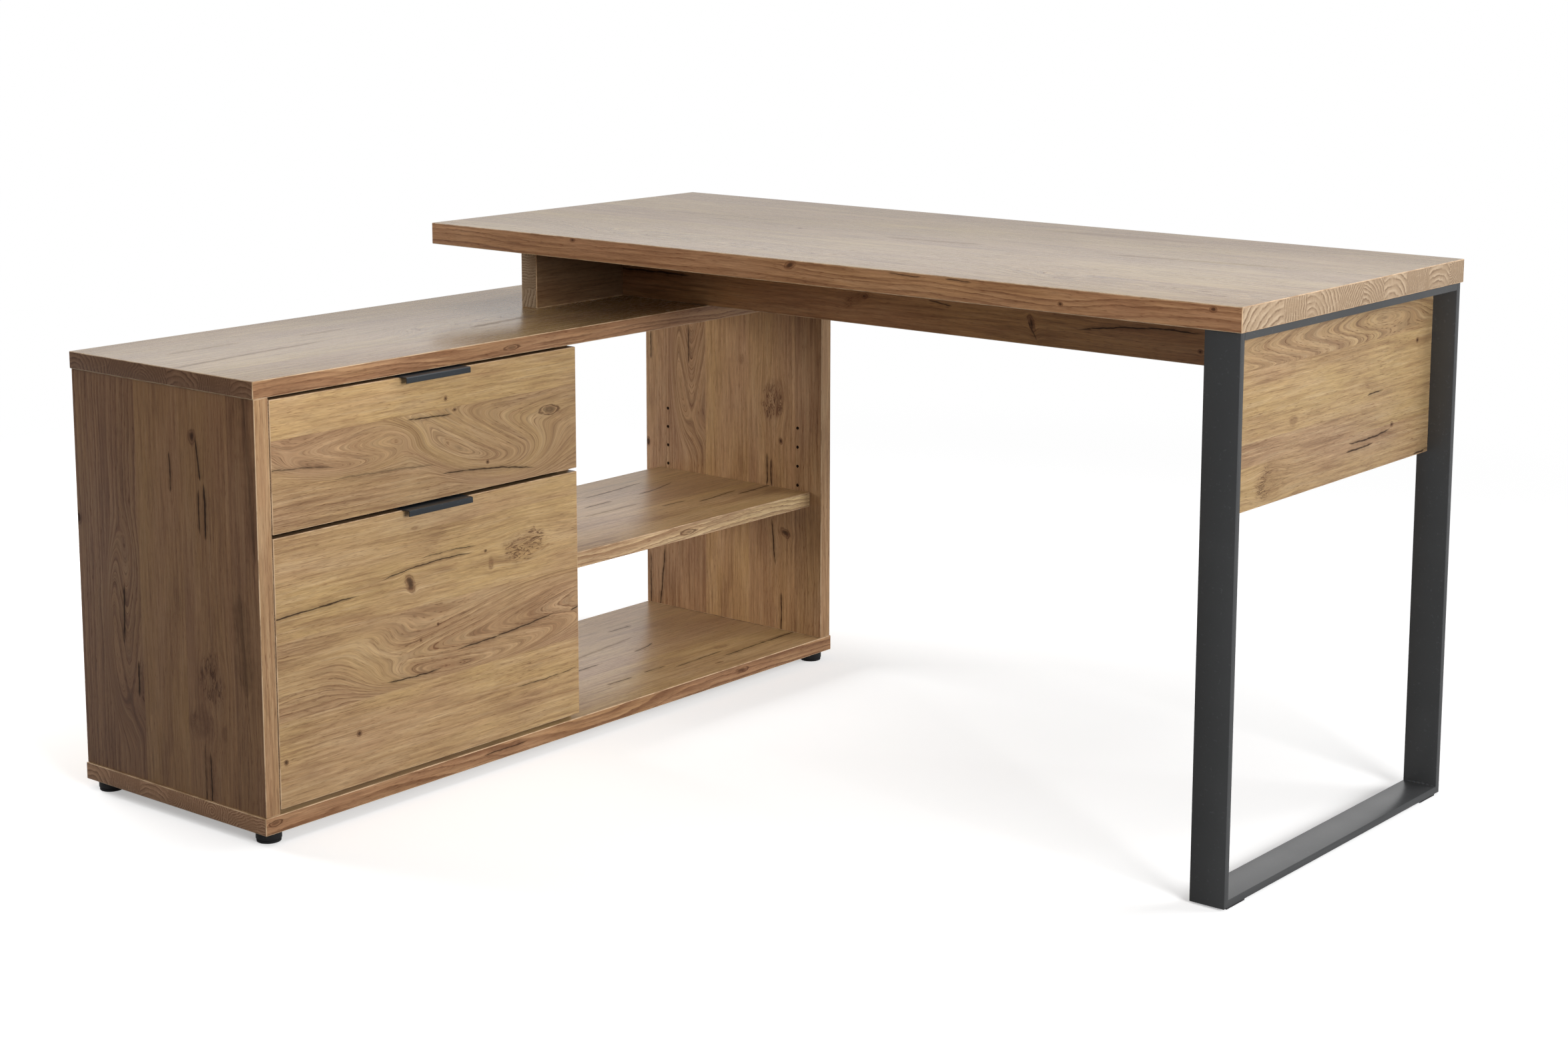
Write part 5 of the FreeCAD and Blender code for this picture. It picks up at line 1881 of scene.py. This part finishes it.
# ---------------------------------------------------------------------------
# Sub-assemblies
# ---------------------------------------------------------------------------


def report(piece: bpy.types.Object) -> None:
    """Reports a finished piece."""
    log.info("%s: %d faces", piece.name, len(piece.data.polygons))


@dataclass
class Tops:
    """The desk top with what stiffens it: end panel, apron and support board."""

    boards: tuple[Board, ...] = (
        Board("desktop", Axis.X, Axis.Y, Axis.Z, face=DESK_TOP, edge=DESK_EDGE, end=DESK_END),
        Board("end_panel", Axis.Y, Axis.Z, Axis.X, face=END_PANEL),
        Board("apron", Axis.X, Axis.Z, Axis.Y, flip=True, face=APRON),
        Board("support_board", Axis.Y, Axis.Z, Axis.X, face=SUPPORT_SHADED),
    )

    def build(self, desk: Dresser) -> None:
        """Builds each board and reports it."""
        for board in self.boards:
            report(board.build(desk))


@dataclass
class Feet:
    """The cabinet's four turned feet: a round body, a groove and below it a pad with a rounded rim."""

    radius: float = 17.5 * MM
    top_round: float = 0.8 * MM
    pad: float = 4.0 * MM
    pad_round: float = 1.2 * MM
    groove_depth: float = 0.7 * MM
    sides: int = 48

    def profile(self, tall: float) -> np.ndarray:
        """The feet's outline.

        Args:
            tall: Their height in metres.

        Returns:
            Rows of radius and height, from the top's centre to the floor's centre.
        """
        radius, edge, rim, low = self.radius, self.top_round, self.pad, self.pad_round
        neck = radius - edge
        groove = neck - self.groove_depth
        return np.vstack(
            [
                [[0.0, tall]],
                arc((radius - edge, tall - edge), edge, 90.0, 0.0, 3),
                [[radius, rim + 1.0 * MM], [radius - 0.3 * MM, rim + 0.4 * MM], [groove, rim + 0.3 * MM]],
                [[groove, rim - 0.3 * MM], [neck, rim - 0.5 * MM]],
                arc((neck - low, low), low, 0.0, -90.0, 4),
                [[0.0, 0.0]],
            ]
        )

    def build(self, desk: Dresser) -> bpy.types.Object:
        """Builds the four feet as one piece.

        Args:
            desk: The shared groups and materials.

        Returns:
            The piece that stands for the feet's node.
        """
        low, high = (np.array(corner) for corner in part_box("cabinet_feet"))
        profile = self.profile(float(high[2] - low[2]))
        points, faces = [], []
        for x in (low[0] + self.radius, high[0] - self.radius):
            for y in (low[1] + self.radius, high[1] - self.radius):
                made, quads = turned_grid(profile, self.sides, (float(x), float(y), float(low[2])))
                base = len(made) * len(points)
                faces += [[i + base for i in face] for face in quads]
                points.append(made)
        piece = put_mesh("turned_feet", np.vstack(points), faces)
        piece.data.materials.append(desk.coat(PLASTIC))
        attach(piece, "desk")
        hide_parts("cabinet_feet")
        return piece


@dataclass
class Cabinet:
    """The low cabinet: its boards with the shelf pin holes, and its feet. Pin places are in millimetres."""

    pin_radius: float = 2.5 * MM
    pin_depth: float = 10.0 * MM
    pin_rows: tuple[float, ...] = (220.0, 252.0, 284.0, 316.0, 348.0)
    pin_columns: tuple[float, ...] = (50.0, 336.0)
    feet: Feet = field(default_factory=Feet)

    def pin_holes(self) -> tuple[Hole, ...]:
        """The shelf pin holes in a side panel's inner face."""
        places = ((row * MM, column * MM) for row in self.pin_rows for column in self.pin_columns)
        return tuple(Hole(row, column, self.pin_radius, self.pin_depth) for row, column in places)

    def build(self, desk: Dresser) -> None:
        """Builds each board and the feet, and reports them.

        Args:
            desk: The shared groups and materials.
        """
        holes = self.pin_holes()
        boards = (
            Board("cabinet_top", Axis.Y, Axis.X, Axis.Z, face=CABINET_TOP, edge=TOP_EDGE, end=TOP_END_SHADED),
            Board("cabinet_base", Axis.Y, Axis.X, Axis.Z, face=BASE_TOP, edge=BASE_EDGE, end=BASE_END),
            Board("left_side_panel", Axis.Z, Axis.X, Axis.Y, flip=True, face=LEFT_PANEL_SHADED),
            Board("divider_panel", Axis.Z, Axis.X, Axis.Y, face=DIVIDER, holes=holes),
            Board("right_side_panel", Axis.Z, Axis.X, Axis.Y, flip=True, face=RIGHT_PANEL, holes=holes),
            Board("drawer_bay_back", Axis.Z, Axis.Y, Axis.X),
            Board("shelf", Axis.Y, Axis.X, Axis.Z, face=SHELF_TOP, edge=SHELF_EDGE),
        )
        for board in boards:
            report(board.build(desk))
        report(self.feet.build(desk))


@dataclass
class SledLeg:
    """The sled leg: flat steel, down the front, along the floor and up the rear, welded at the corners."""

    arris: float = 0.7 * MM
    arris_steps: int = 2
    flat: float = 10.0 * MM
    bead: float = 2.2 * MM
    ripple: float = 0.35 * MM
    ripple_pitch: float = 1.1 * MM
    bead_inset: float = 2.0 * MM
    bead_sink: float = 0.4 * MM
    bead_rows: int = 61
    bead_steps: int = 7

    def build(self, desk: Dresser) -> None:
        """Builds the loop and its weld beads, and reports them."""
        report(self.build_loop(desk))
        report(self.build_welds(desk))

    def build_loop(self, desk: Dresser) -> bpy.types.Object:
        """Sweeps the bar's section down, along and up, with mitred corners.

        Args:
            desk: The shared groups and materials.

        Returns:
            The piece that stands for the two posts and the bottom bar.
        """
        low, high = (np.array(corner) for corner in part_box("leg_front_post"))
        rear = np.array(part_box("leg_rear_post")[1])
        section = rounded_loop(self.flat, float(high[0] - low[0]), self.arris, self.arris_steps)
        path = np.array([[low[1], high[2]], [low[1], low[2]], [rear[1], low[2]], [rear[1], high[2]]])
        inward = np.array([[1.0, 0.0], [1.0, 1.0], [-1.0, 1.0], [-1.0, 0.0]])
        points, faces = section_sweep(section, path, inward)
        points[:, 0] += low[0]
        piece = put_mesh("sled_bars", points, faces)
        piece.data.materials.append(desk.coat(ANTHRACITE))
        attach(piece, "desk")
        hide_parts("leg_front_post", "leg_rear_post", "leg_bottom_bar")
        return piece

    def build_welds(self, desk: Dresser) -> bpy.types.Object:
        """Lays a small weld bead into each lower inside corner.

        The bead's surface is a quarter round whose radius ripples along X by a sine, and tapers to
        nothing at both ends by the fourth root of a sine.

        Args:
            desk: The shared groups and materials.

        Returns:
            The beads as one piece.
        """
        low, high = (np.array(corner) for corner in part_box("leg_bottom_bar"))
        along = np.linspace(low[0] + self.bead_inset, high[0] - self.bead_inset, self.bead_rows)
        angle = np.linspace(0.0, math.pi / 2.0, self.bead_steps)
        x, turn = np.meshgrid(along, angle, indexing="ij")
        taper = np.sin(np.pi * (x - along[0]) / (along[-1] - along[0])) ** 0.25
        radius = (self.bead + self.ripple * np.sin((x - low[0]) / self.ripple_pitch)) * taper
        tall = high[2] + radius * np.sin(turn) - self.bead_sink
        quads = face_grid(along, angle)[1]
        points, faces = [], []
        for y, side in ((low[1], 1), (high[1], -1)):
            wide = y + side * (radius * np.cos(turn) - self.bead_sink)
            outward = quads[:, ::-1] if side > 0 else quads
            faces += (outward + x.size * len(points)).tolist()
            points.append(np.stack([x, wide, tall], axis=2).reshape(-1, 3))
        piece = put_mesh("weld_beads", np.vstack(points), faces)
        piece.data.materials.append(desk.coat(WELD))
        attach(piece, "desk")
        return piece


@dataclass
class Drawer:
    """One drawer: its front board and its angled edge pull. The box and runners stay the CAD's own."""

    body: str
    face: OakFace
    sheet: float = 1.5 * MM
    lip: float = 8.5 * MM
    bend: float = 1.9 * MM
    inner_bend: float = 0.4 * MM
    lip_round: float = 0.5 * MM
    end_step: float = 0.4 * MM
    bend_steps: int = 6
    inner_steps: int = 4
    round_steps: int = 3

    def build(self, desk: Dresser) -> None:
        """Builds the front and the pull, and reports them.

        Args:
            desk: The shared groups and materials.
        """
        front = Board(
            self.body + "_front", Axis.Y, Axis.Z, Axis.X, face=self.face, edge=FRONT_EDGE_SHADED, body=self.body
        )
        report(front.build(desk))
        report(self.build_pull(desk))

    def pull_section(self, left: float, right: float, floor: float, top: float) -> np.ndarray:
        """The bent sheet's section.

        It goes up the rear flange, over the front's top edge and down the lip, with rounded bends,
        and back at the sheet's thickness.

        Args:
            left: X of the flange's back.
            right: X of the lip's front.
            floor: Z of the flange's foot.
            top: Z of the pull's top.

        Returns:
            Rows of Z and X, in order round the section.
        """
        t, bend, inner, edge = self.sheet, self.bend, self.inner_bend, self.lip_round
        foot = top - self.lip + edge
        under = top - t - inner
        loop = np.vstack(
            [
                [[left, floor]],
                arc((left + bend, top - bend), bend, 180.0, 90.0, self.bend_steps),
                arc((right - bend, top - bend), bend, 90.0, 0.0, self.bend_steps),
                arc((right - edge, foot), edge, 0.0, -90.0, self.round_steps),
                arc((right - t + edge, foot), edge, -90.0, -180.0, self.round_steps),
                arc((right - t - inner, under), inner, 0.0, 90.0, self.inner_steps),
                arc((left + t + inner, under), inner, 90.0, 180.0, self.inner_steps),
                [[left + t, floor]],
            ]
        )
        return loop[:, ::-1]

    def build_pull(self, desk: Dresser) -> bpy.types.Object:
        """Carries the pull's section along Y, with a short first and last step.

        Args:
            desk: The shared groups and materials.

        Returns:
            The piece that stands for the pull's node.
        """
        node = self.body + "_handle"
        low, high = (np.array(corner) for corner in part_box(node))
        section = self.pull_section(low[0], high[0], low[2], high[2])
        stops = np.array([low[1], low[1] + self.end_step, high[1] - self.end_step, high[1]])
        path = np.column_stack([stops, np.zeros(len(stops))])
        upward = np.tile([0.0, 1.0], (len(stops), 1))
        points, faces = section_sweep(section, path, upward)
        piece = put_mesh(self.body + "_pull", points, turned_over(faces))
        piece.data.materials.append(desk.coat(PULL))
        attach(piece, self.body)
        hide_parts(node)
        return piece


# ---------------------------------------------------------------------------
# CAD nodes that keep their own shape
# ---------------------------------------------------------------------------

KEPT_COATS = {
    "anthracite_steel": ANTHRACITE,
    "anthracite_pull": PULL,
    "black_plastic": PLASTIC,
    "drawer_board": MELAMINE,
    "hardboard": HARDBOARD,
    "zinc_steel": ZINC,
}


def dress_kept_nodes(frame: dict[str, Any], desk: Dresser) -> None:
    """Gives each CAD node that stays visible the detailed finish of its record slot.

    Args:
        desk: The shared groups and materials.
    """
    slots = {part["node"]: part["material_slot"] for part in frame["record"]["subparts"]}
    for name, piece in frame["nodes"].items():
        if piece.hide_render:
            continue
        slot = slots[name]
        material = desk.raw(BEECH) if slot == "beech" else desk.coat(KEPT_COATS[slot])
        for place in piece.material_slots:
            place.material = material
        log.info("%s keeps its shape and takes %s", name, material.name)


# ---------------------------------------------------------------------------
# Studio
# ---------------------------------------------------------------------------


def look_along(place: Point, target: Point) -> Euler:
    """The turn that points an object's -Z from place to target."""
    return (Vector(target) - Vector(place)).to_track_quat("-Z", "Y").to_euler()


@dataclass(frozen=True)
class Lamp:
    """A soft rectangular lamp: where it stands, where it looks, its size in metres and its power."""

    name: str
    place: Point
    target: Point
    size: tuple[float, float]
    power: float
    colour: Point = (1.0, 1.0, 1.0)

    def build(self) -> bpy.types.Object:
        """Makes the lamp, which neither the camera nor a mirrored ray sees.

        Returns:
            The lamp's object.
        """
        data = bpy.data.lights.new(self.name, "AREA")
        data.shape = "RECTANGLE"
        data.size, data.size_y = self.size
        data.energy = self.power
        data.color = self.colour
        lamp = put_object(self.name, data)
        lamp.location = self.place
        lamp.rotation_euler = look_along(self.place, self.target)
        lamp.visible_camera = False
        lamp.visible_glossy = False
        return lamp


def mirrored(graph: Graph, path: bpy.types.Node) -> Socket:
    """Whether a ray comes off a mirror or through glass, by a Light Path node."""
    return graph.math("MAXIMUM", path.outputs["Is Glossy Ray"], path.outputs["Is Transmission Ray"])


@dataclass
class Studio:
    """A pale floor that keeps a soft shadow, a white surround, lamps and the camera.

    The floor is white beyond white_from and keeps a shadow within shadow_to, in metres from the
    origin. Mirrored rays see a surround that is dimmer low down and on the camera's side.
    """

    floor_half: float = 30.0
    shadow_to: float = 1.6
    white_from: float = 3.2
    floor_white: float = 0.95
    floor_glow: float = 0.385
    floor_mirror: float = 0.22
    bounce: float = 0.35
    dim_side: float = 0.06
    wall_light: float = 0.12
    wall_band: tuple[float, float] = (-0.7, 0.3)
    low_sky: float = 0.5
    high_sky: float = 1.5
    sky_band: tuple[float, float] = (0.08, 0.28)
    lamps: tuple[Lamp, ...] = (
        Lamp("rear_key", (7.0, 7.2, 4.4), (-0.3, 0.0, 0.4), (6.5, 3.6), 560.0),
        Lamp("side_key", (5.2, -1.7, 1.7), (-0.3, 0.0, 0.4), (2.0, 1.4), 265.0),
        Lamp("top_fill", (0.3, -0.5, 3.6), (0.0, 0.0, 0.4), (2.6, 2.6), 32.0),
        Lamp("back_light", (-3.6, -0.5, 1.1), (-0.5, 0.1, 0.4), (2.0, 1.2), 100.0),
    )
    camera_place: Point = (2.3412, -2.8136, 1.2216)
    azimuth: float = 39.341
    pitch: float = 9.5
    roll: float = -0.07
    lens: float = 61.93
    sensor: float = 36.0
    shift: float = -0.1
    view_range: float = 100.0

    def build(self) -> None:
        """Builds the whole studio."""
        self.build_floor()
        self.build_world()
        for lamp in self.lamps:
            lamp.build()
        self.build_camera()

    def build_floor(self) -> None:
        """Makes the floor, white to the camera but for the shadow that it keeps."""
        mesh = bpy.data.meshes.new("floor")
        h = self.floor_half
        mesh.from_pydata([(-h, -h, 0.0), (h, -h, 0.0), (h, h, 0.0), (-h, h, 0.0)], [], [(0, 1, 2, 3)])
        floor = put_object("floor", mesh)
        material = bpy.data.materials.new("pale_floor")
        graph = empty_graph(material)
        m = graph.math
        path = graph.node("LightPath")
        seen = path.outputs["Is Camera Ray"]
        x, y, _ = graph.parts(graph.place())
        near = graph.step(graph.length(x, y), self.shadow_to, self.white_from, 1.0, 0.0)
        shown = m("MULTIPLY", near, self.floor_white)
        shade = m("MULTIPLY_ADD", m("SUBTRACT", shown, self.bounce), seen, self.bounce)
        body = graph.node("BsdfDiffuse")
        graph.feed(body.inputs["Color"], graph.vector(shade, shade, shade))
        glow = graph.node("Emission")
        level = m("SUBTRACT", 1.0, m("MULTIPLY", near, 1.0 - self.floor_glow))
        sight = m("MULTIPLY_ADD", mirrored(graph, path), self.floor_mirror, seen)
        graph.feed(glow.inputs["Strength"], m("MULTIPLY", level, sight))
        both = graph.node("AddShader")
        graph.feed(both.inputs[0], body.outputs[0])
        graph.feed(both.inputs[1], glow.outputs[0])
        graph.finish("OutputMaterial", both)
        mesh.materials.append(material)

    def build_world(self) -> None:
        """Makes the surround: white where it is seen or mirrored, dimmer as a light."""
        world = bpy.data.worlds.new("surround")
        bpy.context.scene.world = world
        graph = empty_graph(world)
        m = graph.math
        path = graph.node("LightPath")
        _, rearward, height = graph.parts(graph.node("TexCoord").outputs["Generated"])
        wall = graph.step(rearward, *self.wall_band, self.dim_side, 1.0)
        sky = graph.step(height, *self.sky_band, self.low_sky, self.high_sky)
        brighter = m("SUBTRACT", sky, self.wall_light)
        gain = m("MULTIPLY_ADD", mirrored(graph, path), brighter, self.wall_light)
        light = m("MAXIMUM", m("MULTIPLY", wall, gain), path.outputs["Is Camera Ray"])
        back = graph.node("Background")
        back.inputs["Color"].default_value = WHITE
        graph.feed(back.inputs["Strength"], light)
        graph.finish("OutputWorld", back)

    def build_camera(self) -> None:
        """Stands the camera to the front right, with a small downward shift of the frame."""
        data = bpy.data.cameras.new("camera")
        data.lens = self.lens
        data.sensor_width = self.sensor
        data.shift_y = self.shift
        data.clip_end = self.view_range
        camera = put_object("camera", data)
        camera.location = self.camera_place
        turns = (90.0 - self.pitch, self.roll, self.azimuth)
        camera.rotation_euler = tuple(math.radians(turn) for turn in turns)
        bpy.context.scene.camera = camera


def plain_view() -> None:
    """Shows colours as they are written."""
    bpy.context.scene.view_settings.view_transform = "Standard"


def main() -> None:
    """Builds the desk's looks in order."""
    logging.basicConfig(level=logging.INFO, format="%(message)s")
    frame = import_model()
    plain_view()
    desk = Dresser()
    Tops().build(desk)
    Cabinet().build(desk)
    SledLeg().build(desk)
    Drawer("upper_drawer", UPPER_FRONT).build(desk)
    Drawer("lower_drawer", LOWER_FRONT).build(desk)
    dress_kept_nodes(frame, desk)
    Studio().build()


if __name__ == "__main__":
    main()
